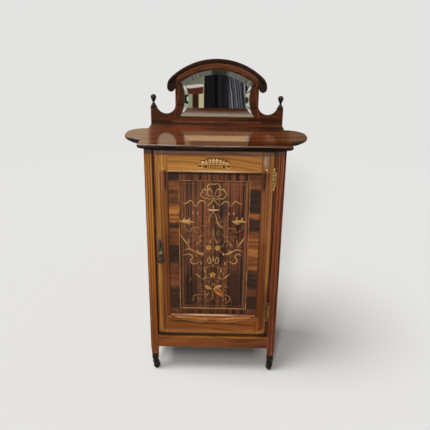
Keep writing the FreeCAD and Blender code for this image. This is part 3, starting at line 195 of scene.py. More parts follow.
class Finish:
    """A material, or a world that is given, whose nodes are built up one by one."""

    def __init__(self, name, world=None):
        self.made = world or bpy.data.materials.new(name)
        self.made.use_nodes = True
        self.tree = self.made.node_tree
        self.tree.nodes.clear()

    def node(self, kind, settings=None, inputs=None, output=0):
        """Adds a node: its settings or a ramp's stops first, then the values or links of its inputs."""
        made = self.tree.nodes.new(kind)
        for name, value in (settings or {}).items():
            if name == "stops":
                ramp = made.color_ramp
                while len(ramp.elements) < len(value):
                    ramp.elements.new(1.0)
                for element, (place, shade) in zip(ramp.elements, value):
                    element.position = place
                    element.color = (*shade, 1.0)
            else:
                setattr(made, name, value)
        for name, value in (inputs or {}).items():
            socket = made.inputs[name]
            if isinstance(value, Socket):
                self.tree.links.new(value.socket, socket)
            elif hasattr(value, "__len__") and len(value) == 3 and len(socket.default_value) == 4:
                socket.default_value = (*value, 1.0)
            else:
                socket.default_value = value
        return Socket(self, made.outputs[output]) if made.outputs else None

    def place(self):
        """Gives the three object coordinates, in metres."""
        here = self.node("ShaderNodeTexCoord", output="Object")
        parts = self.node("ShaderNodeSeparateXYZ", inputs={0: here})
        return [Socket(self, socket) for socket in parts.socket.node.outputs]

    def noise(self, x, y, z, scale=1.0, detail=2.0, roughness=0.5):
        """Gives a cloudy pattern in space."""
        point = self.node("ShaderNodeCombineXYZ", inputs={0: x, 1: y, 2: z})
        return self.node("ShaderNodeTexNoise", {"noise_dimensions": "3D"},
                         {"Vector": point, "Scale": scale, "Detail": detail, "Roughness": roughness})

    def streak(self, along, detail=3.0, roughness=0.6):
        """Gives a pattern of stripes that lie across one value."""
        return self.node("ShaderNodeTexNoise", {"noise_dimensions": "1D"},
                         {"W": along, "Scale": 1.0, "Detail": detail, "Roughness": roughness})

    def band(self, value, low, high, soft):
        """Gives 1 between low and high millimetres, falling to 0 over soft millimetres outside them."""
        rise = (value - (low - soft) * MM) / (soft * MM)
        fall = ((high + soft) * MM - value) / (soft * MM)
        return rise.clamped() * fall.clamped()

    def mix(self, share, first, second):
        """Gives the first colour where the share is 0 and the second where it is 1."""
        return self.node("ShaderNodeMix", {"data_type": "RGBA", "clamp_factor": True},
                         {0: share, 6: first, 7: second}, output=2)

    def bump(self, height, strength, distance):
        """Gives the normal of a relief whose distance is in metres."""
        return self.node("ShaderNodeBump",
                         inputs={"Strength": strength, "Distance": distance, "Height": height})

    def shader(self, **inputs):
        """Closes the finish with one Principled shader, whose inputs are written with underscores."""
        named = {name.replace("_", " "): value for name, value in inputs.items()}
        return self.close(self.node("ShaderNodeBsdfPrincipled", inputs=named))

    def close(self, shader, kind="ShaderNodeOutputMaterial"):
        """Sends a shader to the output, and gives the finished material or world."""
        self.node(kind, inputs={"Surface": shader})
        return self.made


def within(**spans):
    """Gives the mask of a zone, from its low and high bound and its soft rim along x, y, z or sides.

    All three are in millimetres. Along sides, the distance from the middle plane counts.
    """
    def mask(finish, place):
        shares = []
        for along, span in spans.items():
            value = abs(place[0]) if along == "sides" else place["xyz".index(along)]
            shares.append(finish.band(value, *span))
        return reduce(mul, shares)
    return mask


def overlap(*masks):
    """Gives the mask of the places that lie in every one of some zones."""
    return lambda finish, place: reduce(mul, [mask(finish, place) for mask in masks])


def either(*masks):
    """Gives the mask of the places that lie in any one of some zones."""
    return lambda finish, place: 1.0 - reduce(mul, [1.0 - mask(finish, place) for mask in masks])


def along_door_edge(low, high, soft):
    """Gives the mask of a strip that follows the door's edges and rounds its lower corners."""
    def mask(finish, place):
        side = (abs(place[0]) - (DOOR_FIELD_HALF - DOOR_CORNER)).maths("MAXIMUM")
        rise = (DOOR_FIELD_FOOT + DOOR_CORNER - place[2]).maths("MAXIMUM")
        return finish.band((side * side + rise * rise).root() - DOOR_CORNER, low, high, soft)
    return mask


def reed_light_and_shade(between):
    """Gives the mask of the painted shade in the hollows between the front legs' reeds, or of the painted
    highlight on their crests.
    """
    def mask(finish, place):
        near = ((abs(place[0]) - REED_START) / REED_STEP).maths("PINGPONG", 0.5)
        share = (0.2 - near) * 7.0 if between else (near - 0.26) * 5.0
        return share.clamped() * within(y=LEG_FRONT, z=(120, 1100, 14))(finish, place)
    return mask


def zone(mask, dark, light):
    """Joins a mask and the display colours that a wood's dark and light figure has there."""
    return (mask, paint(*dark), paint(*light))


def polished_wood(name, grain, dark, light, stripes=60.0, seed=0.0, sway=1.0, contrast=1.3, zones=(),
                  roughness=0.36, coat=0.1, coat_roughness=0.12, coat_ior=1.5, shine=0.12, veins=0.75,
                  round_centre=None, rubbed_off=None):
    """A polished wood whose dark streaks run along one axis, with colour zones over the piece.

    With round_centre, the height of an axis in millimetres, the streaks run in arches round it. Where the
    mask rubbed_off is 1, the coat is thin.
    """
    finish = Finish(name)
    x, y, z = place = finish.place()
    along, across, depth = {"X": (x, z, y), "Y": (y, z, x), "Z": (z, x, y), "Z on a side": (z, y, x)}[grain]
    if round_centre is not None:
        rise = z - round_centre * MM
        across = (x * x + rise * rise).root()
        along = x.maths("ARCTAN2", rise) * 0.25
        place = (x, along, across)
    wander = finish.noise(across * 5.0, depth * 5.0, along * 1.6 + seed) - 0.5
    knotty = finish.noise(across * 24.0, depth * 24.0, along * 6.0 + seed) - 0.5
    ring = (across + depth * 0.4) * stripes + wander * (5.0 * sway) + knotty * (0.9 * sway) + seed
    bands = finish.streak(ring, detail=4.0, roughness=0.62)
    fibre = finish.noise(across * 800.0, depth * 800.0, along * 16.0 + seed)
    cloud = finish.noise(across * 9.0, depth * 9.0, along * 5.0 + seed * 3.0)
    pore = finish.noise(across * 1500.0, depth * 1500.0, along * 45.0, detail=1.0) > 0.66
    tone = ((bands - 0.5) * (2.0 * contrast) + 0.55 + (fibre - 0.5) * 0.55 + (cloud - 0.5) * 0.5).clamped()
    colour = finish.mix(tone, dark, light)
    for mask, zone_dark, zone_light in zones:
        colour = finish.mix(mask(finish, place), colour, finish.mix(tone, zone_dark, zone_light))
    line = ((bands * -1.0 + 0.395) * 14.0).clamped()
    colour = finish.mix(line * veins, colour, tuple(0.28 * part for part in dark))
    colour = finish.mix(pore * 0.45, colour, tuple(0.45 * part for part in dark))
    rubbed = roughness + (cloud - 0.5) * 0.18 + (fibre - 0.5) * 0.10
    height = bands * 0.25 + fibre * 0.45 - pore * 0.6
    if rubbed_off is not None:
        coat = (1.0 - rubbed_off(finish, place) * 0.8) * coat
    return finish.shader(Base_Color=colour, Roughness=rubbed, Normal=finish.bump(height, 0.35, 0.00015),
                         Coat_Weight=coat, Coat_Roughness=coat_roughness, Coat_IOR=coat_ior,
                         Specular_IOR_Level=shine)


def dress(material, *nodes):
    """Gives a finish to carried-over nodes."""
    for name in nodes:
        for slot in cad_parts[name].material_slots:
            slot.material = material


def made_object(name, shape, material):
    """Makes the object of a finished shape."""
    mesh = bpy.data.meshes.new(name)
    shape.to_mesh(mesh)
    shape.free()
    mesh.materials.append(material)
    piece = bpy.data.objects.new(name, mesh)
    bpy.context.scene.collection.objects.link(piece)
    return piece


def settle(name, shape, material, body):
    """Makes the object of a finished shape and lets it ride on its body."""
    bmesh.ops.recalc_face_normals(shape, faces=shape.faces[:])
    piece = made_object(name, shape, material)
    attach(piece, body)


def stroke_profile(kind, share):
    """Gives the share of its full width that a stroke has at a share of its length."""
    if kind == "leaf":
        return max(0.06, math.sin(math.pi * min(share * 0.94 + 0.03, 1.0)) ** 0.7)
    if kind == "point":
        return max(0.08, (1.0 - share) ** 0.6)
    if kind == "band":
        return max(0.3, min(1.0, 4.0 * share + 0.3, 4.0 * (1.0 - share) + 0.3))
    return 1.0


def stroke_shape(strokes, ground, stand):
    """Cuts strokes of wood and lays them flat in their ground.

    A stroke is its kind, its width and then the x and z of its points by turns, in millimetres.
    """
    curve = bpy.data.curves.new("stroke", "CURVE")
    curve.dimensions = "3D"
    curve.bevel_depth = 1.0
    curve.bevel_resolution = 1
    curve.resolution_u = 5
    curve.use_fill_caps = True
    for layer, (kind, width, *numbers) in enumerate(strokes):
        points = list(zip(numbers[::2], numbers[1::2]))
        spline = curve.splines.new("BEZIER")
        spline.bezier_points.add(len(points) - 1)
        spline.use_cyclic_u = kind == "ring"
        for order, (knot, (x, z)) in enumerate(zip(spline.bezier_points, points)):
            knot.co = (x * MM, layer % LAYERS * LAYER_GAP, z * MM)
            knot.handle_left_type = knot.handle_right_type = "AUTO"
            knot.radius = width * MM / 2 * stroke_profile(kind, order / (len(points) - 1))
    holder = bpy.data.objects.new("stroke", curve)
    bpy.context.scene.collection.objects.link(holder)
    bpy.context.view_layer.update()
    mesh = bpy.data.meshes.new_from_object(holder.evaluated_get(bpy.context.evaluated_depsgraph_get()))
    bpy.data.objects.remove(holder)
    bpy.data.curves.remove(curve)
    shape = bmesh.new()
    shape.from_mesh(mesh)
    bpy.data.meshes.remove(mesh)
    bmesh.ops.remove_doubles(shape, verts=shape.verts[:], dist=WELD)
    for corner in shape.verts:
        layer = round(corner.co.y / LAYER_GAP)
        proud = (corner.co.y - layer * LAYER_GAP) * STEEPNESS
        corner.co.y = ground + max(-stand, min(stand, proud)) - layer * LAYER_STEP
    return shape


def mirrored(strokes, axis):
    """Gives strokes together with their mirror images about an upright axis."""
    images = []
    for kind, width, *numbers in strokes:
        numbers[::2] = [2 * axis - x for x in numbers[::2]]
        images.append((kind, width, *numbers))
    return strokes + images


def string_frame(left, right, foot, head, width, ground, stand):
    """Lays a mitred frame of stringing, its sizes in millimetres."""
    shape = bmesh.new()
    turn = Matrix.Rotation(math.radians(90.0), 4, "X")
    stretch = Matrix.Diagonal(((right - left) * MM, 1.0, (head - foot) * MM, 1.0))
    centre = Matrix.Translation(((left + right) / 2 * MM, ground + stand, (foot + head) / 2 * MM))
    made = bmesh.ops.create_grid(shape, x_segments=1, y_segments=1, size=0.5, matrix=centre @ stretch @ turn)
    field = list({face for corner in made["verts"] for face in corner.link_faces})
    ring = bmesh.ops.inset_region(shape, faces=field, thickness=width * MM, use_boundary=True,
                                  use_even_offset=True)["faces"]
    bmesh.ops.delete(shape, geom=field, context="FACES")
    raised = bmesh.ops.extrude_face_region(shape, geom=ring)["geom"]
    corners = [item for item in raised if isinstance(item, bmesh.types.BMVert)]
    bmesh.ops.translate(shape, verts=corners, vec=(0.0, -2.0 * stand, 0.0))
    return shape


def pillows(lobes, ground):
    """Carves rounded lobes, half sunk in their ground.

    A lobe is its x and z, its half width and half height, how proud it stands, and its turn in degrees.
    """
    shape = bmesh.new()
    for x, z, half_width, half_height, proud, turn in lobes:
        seat = Matrix.Translation((x * MM, ground, z * MM)) @ Matrix.Rotation(math.radians(turn), 4, "Y")
        size = Matrix.Diagonal((half_width * MM, proud * MM, half_height * MM, 1.0))
        bmesh.ops.create_uvsphere(shape, u_segments=16, v_segments=10, radius=1.0, matrix=seat @ size)
    return shape


class CHIFFONIER_OT_camera(bpy.types.Operator):
    """Stands the camera before the cabinet"""
    bl_idname = "chiffonier.camera"
    bl_label = "Camera"

    def execute(self, context):
        view = context.scene.chiffonier_view
        yaw, pitch, roll = view.yaw, view.pitch, view.roll
        forward = Vector((math.sin(yaw) * math.cos(pitch), math.cos(yaw) * math.cos(pitch), -math.sin(pitch)))
        level = Vector((math.cos(yaw), -math.sin(yaw), 0.0))
        down = forward.cross(level)
        right = math.cos(roll) * level + math.sin(roll) * down
        up = math.sin(roll) * level - math.cos(roll) * down
        camera = bpy.data.objects.new("studio_camera", bpy.data.cameras.new("studio_camera"))
        camera.data.lens = view.lens
        camera.data.sensor_width = 36.0
        turn = Matrix((right, up, -forward)).transposed().to_4x4()
        camera.matrix_world = Matrix.Translation(view.place) @ turn
        context.scene.collection.objects.link(camera)
        context.scene.camera = camera
        return {"FINISHED"}


def seen_by_eye(finish):
    """Gives 1 for camera, glossy and transmission rays, which see the plain backdrop."""
    rays = [finish.node("ShaderNodeLightPath", output=f"Is {kind} Ray")
            for kind in ("Camera", "Glossy", "Transmission")]
    return (rays[0] + rays[1] + rays[2]).clamped()


class CHIFFONIER_OT_stage(bpy.types.Operator):
    """Lays the pale floor, hangs the cards that the polish reflects and sets the lamps"""
    bl_idname = "chiffonier.stage"
    bl_label = "Stage and lamps"

    # The floor's radius, and from where and over what width it fades into the backdrop, in metres.
    floor_radius = 14.0
    near_reach = 3.2
    fade_width = 1.8
    # The bounds and the colour of the drape's columns along x, and of the strips across them along z.
    columns = ((-700, -362, (154, 162, 132)), (-352, -284, (58, 34, 26)), (-276, -222, (206, 196, 160)))
    strips = ((556, 622, (88, 46, 34)), (630, 658, (226, 216, 206)), (662, 1150, (124, 124, 104)))

    def lamp(self, name, strength, spread, bearing, height):
        """Adds a sun lamp whose light travels to a bearing, in degrees from +X, and down at a height."""
        data = bpy.data.lights.new(name, "SUN")
        data.energy = strength
        data.angle = math.radians(spread)
        lamp = bpy.data.objects.new(name, data)
        level = math.cos(math.radians(height))
        travel = Vector((math.cos(math.radians(bearing)) * level, math.sin(math.radians(bearing)) * level,
                         -math.sin(math.radians(height))))
        lamp.rotation_euler = travel.to_track_quat("-Z", "Y").to_euler()
        bpy.context.scene.collection.objects.link(lamp)

    def world(self, settings):
        """Gives an even light from all round, and a plain backdrop to the eye."""
        world = bpy.data.worlds.new("studio_world")
        bpy.context.scene.world = world
        finish = Finish("studio_world", world)
        ambient = finish.node("ShaderNodeBackground",
                              inputs={"Color": (1.0, 1.0, 1.0), "Strength": settings.ambient})
        plain = finish.node("ShaderNodeBackground", inputs={"Color": settings.backdrop, "Strength": 1.0})
        sight = finish.node("ShaderNodeMixShader", inputs={0: seen_by_eye(finish), 1: ambient, 2: plain})
        finish.close(sight, "ShaderNodeOutputWorld")

    def floor(self, settings):
        """Lays a round floor that runs into the backdrop, with a shadow painted under the cabinet."""
        shape = bmesh.new()
        bmesh.ops.create_circle(shape, cap_ends=True, segments=96, radius=self.floor_radius)
        finish = Finish("pale_floor")
        x, y, _ = finish.place()
        far = (((x * x + y * y).root() - self.near_reach) / self.fade_width).clamped()
        grit = finish.noise(x, y, 0.0, scale=900.0)
        tone = tuple(settings.floor_tone * part / settings.backdrop[0] for part in settings.backdrop)
        # A painted shadow on the floor under the cabinet.
        shadow_beneath = finish.band(y, -15, 150, 75) * finish.band(abs(x), -1, 190, 80)
        tone = finish.mix(shadow_beneath * 0.72, tone, (0.02, 0.022, 0.025))
        near = finish.node("ShaderNodeBsdfPrincipled", inputs={
            "Base Color": tone, "Roughness": 0.9, "Specular IOR Level": 0.0,
            "Normal": finish.bump(grit, 0.02, 0.0002)})
        plain = finish.node("ShaderNodeEmission", inputs={"Color": settings.backdrop, "Strength": 1.0})
        seen = finish.node("ShaderNodeMixShader", inputs={0: far * seen_by_eye(finish), 1: near, 2: plain})
        made_object("studio_floor", shape, finish.close(seen))

    def card(self, name, shade, width, height, centre, tilt):
        """Sets up a glowing studio card that only reflections see; its colours are painted reflections on the
        polish and the mirror.
        """
        shape = bmesh.new()
        turn = Matrix.Rotation(math.radians(tilt), 4, "X")
        size = Matrix.Diagonal((width, height, 1.0, 1.0))
        bmesh.ops.create_grid(shape, x_segments=24, y_segments=24, size=0.5,
                              matrix=Matrix.Translation(centre) @ turn @ size)
        finish = Finish(name + "_cloth")
        glow = finish.node("ShaderNodeEmission", inputs={"Color": shade(finish), "Strength": 1.0})
        card = made_object(name, shape, finish.close(glow))
        card.visible_camera = card.visible_diffuse = card.visible_shadow = False

    def drape_shade(self, finish):
        """Dark folds, columns at the left, pale streaks at the right, a dim head and a warm glow above."""
        x, y, z = finish.place()
        cloud = finish.noise(x * 3.0, y, z * 3.0, detail=3.0)
        folds = finish.streak(x * 18.0 + cloud * 1.5, detail=2.0)
        shade = finish.mix(folds.past(0.42, 3.0), paint(16, 15, 17), paint(50, 48, 52))
        streaks = finish.streak(x * 34.0 + z * 5.0 + cloud * 2.0).past(0.46, 5.0)
        shade = finish.mix(finish.band(x, 120, 360, 50) * streaks, shade, paint(150, 148, 158))
        for low, high, column in self.columns:
            shade = finish.mix(finish.band(x, low, high, 8), shade, paint(*column))
        left = finish.band(x, -700, -228, 8)
        wavy = z + (cloud - 0.5) * 0.10
        for low, high, strip in self.strips:
            shade = finish.mix(finish.band(wavy, low, high, 6) * left, shade, paint(*strip))
        creases = finish.streak(x * 12.0 + cloud).past(0.36, 6.0)
        shade = finish.mix((1.0 - finish.band(x, -760, 560, 40)) * creases, shade, paint(204, 206, 186))
        head = finish.mix(cloud, paint(24, 24, 22), paint(76, 78, 70))
        ends = (1.0 - finish.band(x, -170, 180, 90)) * folds.past(0.1, 1.5)
        head = finish.mix(ends * 0.62, head, paint(158, 160, 148))
        shade = finish.mix(finish.band(z, 1150, 1900, 200), shade, head)
        grain = finish.streak(z * 9.0 + x * 1.5 + cloud * 2.0, detail=3.0)
        glow = finish.mix(((grain - 0.5) * 3.0 + 0.5).clamped(), (1.15, 0.74, 0.38), (1.95, 1.40, 0.82))
        return finish.mix(finish.band(z, 1960, 2700, 60), shade, glow)

    def rug_shade(self, finish):
        """Dark brown near the cabinet and paler away from it."""
        x, y, z = finish.place()
        weave = finish.noise(x, y, z, scale=14.0)
        far = ((y * -1.0 - 2.0) / 0.5).clamped()
        near = finish.mix(weave, paint(24, 18, 14), paint(52, 40, 32))
        return finish.mix(far, near, finish.mix(weave, paint(92, 84, 70), paint(150, 138, 118)))

    def rear_shade(self, finish):
        """Warm and pale at the left and brown at the right, dim in the middle but for two gaps."""
        x, y, z = finish.place()
        cloud = finish.noise(x, y, z, scale=2.5)
        across = (x + 0.5 + (cloud - 0.5) * 0.4).clamped()
        shade = finish.mix(across, paint(212, 192, 164), paint(140, 112, 88))
        gaps = finish.band(x, -560, -400, 24) + finish.band(x, 430, 516, 24)
        dim = finish.band(x, -640, 620, 30) * (1.0 - gaps.clamped())
        return finish.mix(dim, shade, paint(92, 62, 46))

    def execute(self, context):
        settings = context.scene.chiffonier_stage
        context.scene.view_settings.view_transform = "Standard"
        self.world(settings)
        self.floor(settings)
        self.card("dark_drape", self.drape_shade, width=3.1, height=2.6, centre=(-0.05, -4.0, 1.3), tilt=90.0)
        self.card("dark_rug", self.rug_shade, width=2.6, height=3.55, centre=(0.0, -2.2, 0.004), tilt=0.0)
        self.card("warm_screen", self.rear_shade, width=9.0, height=4.4, centre=(0.0, 2.6, 2.3), tilt=90.0)
        self.lamp("key_lamp", settings.key, spread=34.0, bearing=25.0, height=66.0)
        self.lamp("front_lamp", settings.front, spread=9.0, bearing=79.0, height=23.0)
        return {"FINISHED"}


class CHIFFONIER_OT_carcass(bpy.types.Operator):
    """Polishes the posts, rails, sides, back and the plain woods inside"""
    bl_idname = "chiffonier.carcass"
    bl_label = "Carcass woods"

    def execute(self, context):
        wood = context.scene.chiffonier_wood
        # A painted shadow of the top's overhang across the heads of the posts.
        overhang_shadow = zone(within(z=(1036, 1060, 6)), (52, 35, 27), (102, 72, 56))
        foot = within(z=(0, 200, 560))
        # The reeds' crests carry a painted highlight, and the hollows between them a painted shade.
        left = [zone(reed_light_and_shade(False), (122, 66, 26), (210, 140, 62)), zone(foot, (56, 22, 8), (146, 78, 28)),
                zone(reed_light_and_shade(True), (66, 30, 12), (124, 70, 30)), overhang_shadow]
        # The left post's light honey tone is partly its own and partly painted light; the right post's darker
        # red is partly painted shade.
        dress(polished_wood("post_wood_left", "Z", wood.honey_deep, wood.honey, stripes=150.0, seed=2.0,
                            contrast=1.1, sway=0.6, zones=left), "front_left_leg", "rear_left_leg")
        inner_edge = zone(within(x=(244, 247.5, 0.8), y=LEG_FRONT), (84, 42, 24), (156, 88, 54))
        outer_side = zone(within(x=(268, 282, 5), y=LEG_FRONT), (88, 42, 24), (172, 98, 60))
        right = [zone(reed_light_and_shade(False), (68, 31, 15), (146, 78, 40)), zone(foot, (38, 15, 8), (112, 56, 24)),
                 outer_side, zone(reed_light_and_shade(True), (54, 24, 13), (104, 52, 29)), inner_edge, overhang_shadow]
        dress(polished_wood("post_wood_right", "Z", wood.red_deep, wood.red, stripes=130.0, seed=7.0,
                            sway=0.6, zones=right), "front_right_leg", "rear_right_leg")
        apron = [zone(within(x=(120, 300, 200)), (54, 24, 8), (118, 62, 22)),
                 zone(within(z=(183, 192, 2)), (84, 46, 18), (150, 94, 40))]
        dress(polished_wood("apron_wood", "X", paint(58, 27, 8), paint(132, 72, 24), stripes=30.0, seed=4.0,
                            sway=1.6, contrast=0.9, veins=0.4, zones=apron), "front_bottom_rail")
        dress(polished_wood("side_rail_wood", "Y", wood.red_deep, wood.red, seed=9.0),
              "side_bottom_rail_left", "side_bottom_rail_right", "side_top_rail_left", "side_top_rail_right")
        dress(polished_wood("side_panel_wood", "Z on a side", paint(50, 26, 18), paint(132, 76, 44),
                            stripes=62.0, seed=3.0, sway=1.5), "side_panel_left", "side_panel_right")
        dress(polished_wood("back_rail_wood", "X", paint(58, 34, 22), paint(118, 76, 48), seed=5.0, coat=0.0,
                            roughness=0.6), "back_bottom_rail", "back_top_rail")
        dress(polished_wood("back_panel_wood", "Z", paint(88, 60, 38), paint(150, 110, 72), stripes=26.0,
                            seed=6.0, sway=2.0, coat=0.0, roughness=0.7), "back_panel", "mirror_back")
        dress(polished_wood("inner_wood", "X", paint(92, 52, 30), paint(158, 100, 60), stripes=40.0, seed=8.0,
                            coat=0.08, roughness=0.5),
              "cabinet_floor", "shelf_lower", "shelf_middle", "shelf_upper", "front_top_rail")
        dress(polished_wood("bearer_wood", "Y", paint(92, 52, 30), paint(150, 96, 58), stripes=50.0, seed=1.0,
                            coat=0.0, roughness=0.6), "shelf_bearers", "glue_blocks")
        return {"FINISHED"}


class CHIFFONIER_OT_door(bpy.types.Operator):
    """Polishes the door's stiles, rails, beads and its striped panel"""
    bl_idname = "chiffonier.door"
    bl_label = "Door woods"

    # The panel's field inside its border, as low and high bound in millimetres, across and upwards.
    field_width = (-143, 143)
    field_height = (334, 924)
    # Blocks of the border at the left and at the right: foot, head and how much lighter the wood is.
    left_blocks = ((931, 962, -0.11), (898, 926, 0.03), (786, 812, 0.13), (746, 770, 0.11),
                   (724, 738, -0.07), (568, 638, -0.12), (440, 474, 0.05), (340, 432, -0.09))
    right_blocks = ((796, 886, -0.12), (770, 784, 0.09), (714, 758, -0.11), (634, 688, 0.06),
                    (594, 624, 0.13), (528, 588, 0.06), (444, 508, -0.10), (340, 392, -0.10))
    # Patches of the field: left, right, foot, head, soft rim, share and the colour of their light figure.
    patches = (
        (6, 32, 570, 800, 12, 0.6, (66, 50, 44)),
        (36, 70, 790, 850, 14, 0.75, (62, 56, 52)),
        (32, 52, 590, 640, 12, 0.85, (50, 42, 34)),
        (-142, -118, 560, 660, 12, 0.5, (56, 46, 34)),
        (64, 108, 340, 500, 14, 0.7, (64, 44, 34)),
        (-120, -88, 340, 480, 14, 0.6, (64, 44, 34)),
        (-20, 8, 340, 540, 12, 0.5, (78, 52, 38)),
        (58, 116, 580, 900, 16, 0.45, (146, 80, 52)),
        (-66, -40, 680, 800, 10, 0.5, (146, 80, 52)),
    )

    def stripes(self, finish, place, wood, height, bands, wander, fine, fibre, warm):
        """Gives the colour of the panel's upright stripes, darker towards the foot."""
        x, y, z = place
        gloom = finish.noise(x * 13.0 + 2.0, y, z * 2.4).past(0.5, 5.0)
        figure = (bands - 0.5) * 4.2 + (fine - 0.5) * 1.8 + (fibre - 0.5) * 0.6 + 0.68
        tone = (figure - gloom * 0.75).clamped()
        colour = finish.mix(tone, wood.veneer_deep, wood.veneer)
        colour = finish.mix(warm.past(0.48, 3.0) * 0.6 * tone, colour, paint(136, 70, 42))
        cool = finish.streak(x * 52.0 + wander * 2.2 + 21.0).past(0.53, 7.0)
        colour = finish.mix(cool * 0.6, colour, finish.mix(tone, paint(30, 28, 30), paint(84, 70, 60)))
        frayed = x + (finish.noise(x * 60.0, y, z * 7.0, detail=3.0) - 0.5) * 0.03
        for left, right, foot, head, soft, share, shade in self.patches:
            here = finish.band(frayed, left, right, soft) * finish.band(z, foot, head, 40)
            colour = finish.mix(here * share, colour, finish.mix(tone, paint(20, 15, 14), paint(*shade)))
        return finish.mix(0.5 - height * 0.6, colour, paint(30, 18, 12))

    def border(self, finish, place, wood, height):
        """Gives the colour of the crosswise blocks at both sides of the field."""
        x, y, z = place
        drift = finish.noise(x * 22.0, y, z * 22.0, detail=3.0) - 0.5
        rays = finish.noise(x * 26.0, y, z * 420.0, detail=3.0)
        right = x > 0.0
        broad = finish.streak(z * 60.0 + right * 40.3 + drift * 0.5, detail=2.0, roughness=0.5)
        tone = (rays - 0.5) * 0.24 + (broad - 0.5) * 0.20 + drift * 0.12 + 0.485
        slope = z + (rays - 0.5) * 0.012 + drift * 0.02 + abs(x) * 0.08 - 0.0128
        for here, blocks in ((1.0 - right, self.left_blocks), (right, self.right_blocks)):
            for foot, head, lift in blocks:
                tone = tone + finish.band(slope, foot, head, 8) * here * lift
        colour = finish.node("ShaderNodeValToRGB", {"stops": [
            (0.34, paint(44, 36, 30)), (0.42, paint(64, 44, 32)), (0.49, wood.crossband),
            (0.56, paint(130, 76, 38)), (0.66, paint(178, 118, 58)),
        ]}, {0: tone})
        return finish.mix(0.4 - height * 0.5, colour, paint(44, 28, 20))

    def panel(self, wood):
        """The striped veneer with a border of crosswise blocks outside the stringing."""
        finish = Finish("panel_veneer")
        x, y, z = place = finish.place()
        wander = finish.noise(x * 6.0, y, z * 1.2) - 0.5
        bands = finish.streak(x * 78.0 + wander * 1.6 + 3.3, detail=4.0, roughness=0.68)
        fine = finish.streak(x * 420.0 + wander * 5.0, detail=2.0)
        fibre = finish.noise(x * 900.0, y, z * 9.0)
        warm = finish.noise(x * 11.0 + 5.0, y, z * 1.5, detail=1.0)
        height = ((z - 0.30) / 0.66).clamped()
        colour = self.stripes(finish, place, wood, height, bands, wander, fine, fibre, warm)
        across = finish.band(x, *self.field_width, 1)
        sides = 1.0 - across
        outside = 1.0 - across * finish.band(z, *self.field_height, 1)
        colour = finish.mix(sides, colour, self.border(finish, place, wood, height))
        end_tone = ((finish.streak(x * 60.0 + 9.0, detail=2.0) - 0.5) * 4.0 + 0.55).clamped()
        ends = finish.mix(end_tone, paint(48, 32, 28), paint(116, 68, 42))
        ends = finish.mix(0.5 - height * 0.5, ends, paint(36, 24, 20))
        colour = finish.mix(outside - sides * outside, colour, ends)
        # A painted shadow line along the panel's head, under the bead.
        colour = finish.mix(finish.band(z, 952, 970, 4) * 0.7, colour, paint(34, 20, 18))
        return finish.shader(Base_Color=colour, Roughness=0.34 + (warm - 0.5) * 0.2,
                             Normal=finish.bump(fine * 0.3 + fibre * 0.5, 0.3, 0.00012),
                             Coat_Weight=0.1, Coat_Roughness=0.12, Specular_IOR_Level=0.12)

    def execute(self, context):
        wood = context.scene.chiffonier_wood
        foot_deep, foot_light = paint(74, 36, 12), paint(142, 80, 30)
        # The band is the crown of the edge moulding round the field, where a highlight is painted: golden on
        # the left stile, dimmer on the right stile and towards the foot.
        band = along_door_edge(6.5, 15.5, 4)
        edge = along_door_edge(20.5, 400, 2)
        foot_end = within(z=(100, 400, 160))
        low = within(z=(0, 260, 460))
        upper = within(z=(460, 1060, 90))
        head = within(z=(966, 1060, 8))
        corner = (within(sides=(0, 203, 2), z=(100, 276, 2)), foot_deep, foot_light)
        # A painted shadow along the stiles' rebate beside the panel.
        rebate_shadow = zone(within(sides=(160, 188, 4), z=(288, 958, 6)), (48, 26, 16), (104, 60, 35))
        flat = zone(within(sides=(160, 208, 5), z=(288, 640, 90)), (56, 27, 13), (122, 67, 34))
        # A painted shadow in the stopped chamfers near the head of the field.
        tongue_shadow = zone(within(sides=(195, 202, 3), z=(900, 956, 26)), (30, 18, 16), (72, 48, 38))
        cheek = zone(within(sides=(204, 212, 3), z=(880, 964, 9)), (92, 54, 34), (150, 96, 60))
        # A painted shadow of the top's overhang across the head of the door.
        overhang_shadow = zone(within(z=(1034, 1060, 6)), (64, 42, 31), (122, 86, 66))
        # A painted sheen: a pale reflection on the right stile's flat near its head.
        painted_sheen = zone(within(x=(198, 204, 9), z=(1000, 1024, 22)), (110, 84, 66), (172, 144, 122))
        # A darker patch on the left stile round the handle plate.
        handle_patch = zone(within(x=(-236, -215, 3), z=(590, 660, 16)), (58, 40, 34), (116, 86, 72))
        foot_edge = overlap(along_door_edge(12.6, 400, 0.8), within(z=(100, 209, 1)))
        # A painted shadow on the lower fall of the door's foot moulding.
        foot_shadow = zone(foot_edge, (20, 12, 8), (54, 34, 22))
        # A painted highlight on the crown of the moulding along the door's foot.
        foot_highlight = zone(overlap(along_door_edge(0, 11.5, 0.8), within(z=(100, 232, 2))),
                         (92, 54, 20), (158, 100, 40))
        left = [zone(low, (62, 30, 14), (122, 68, 32)), (head, wood.golden_deep, wood.golden), flat, rebate_shadow,
                corner, tongue_shadow, cheek,
                zone(overlap(edge, within(x=(-250, -200, 1))), (58, 33, 19), (124, 80, 48)),
                zone(band, (108, 68, 30), (188, 132, 66)),
                zone(overlap(band, foot_end), (92, 54, 24), (162, 104, 48)),
                foot_highlight, handle_patch, overhang_shadow, foot_shadow]
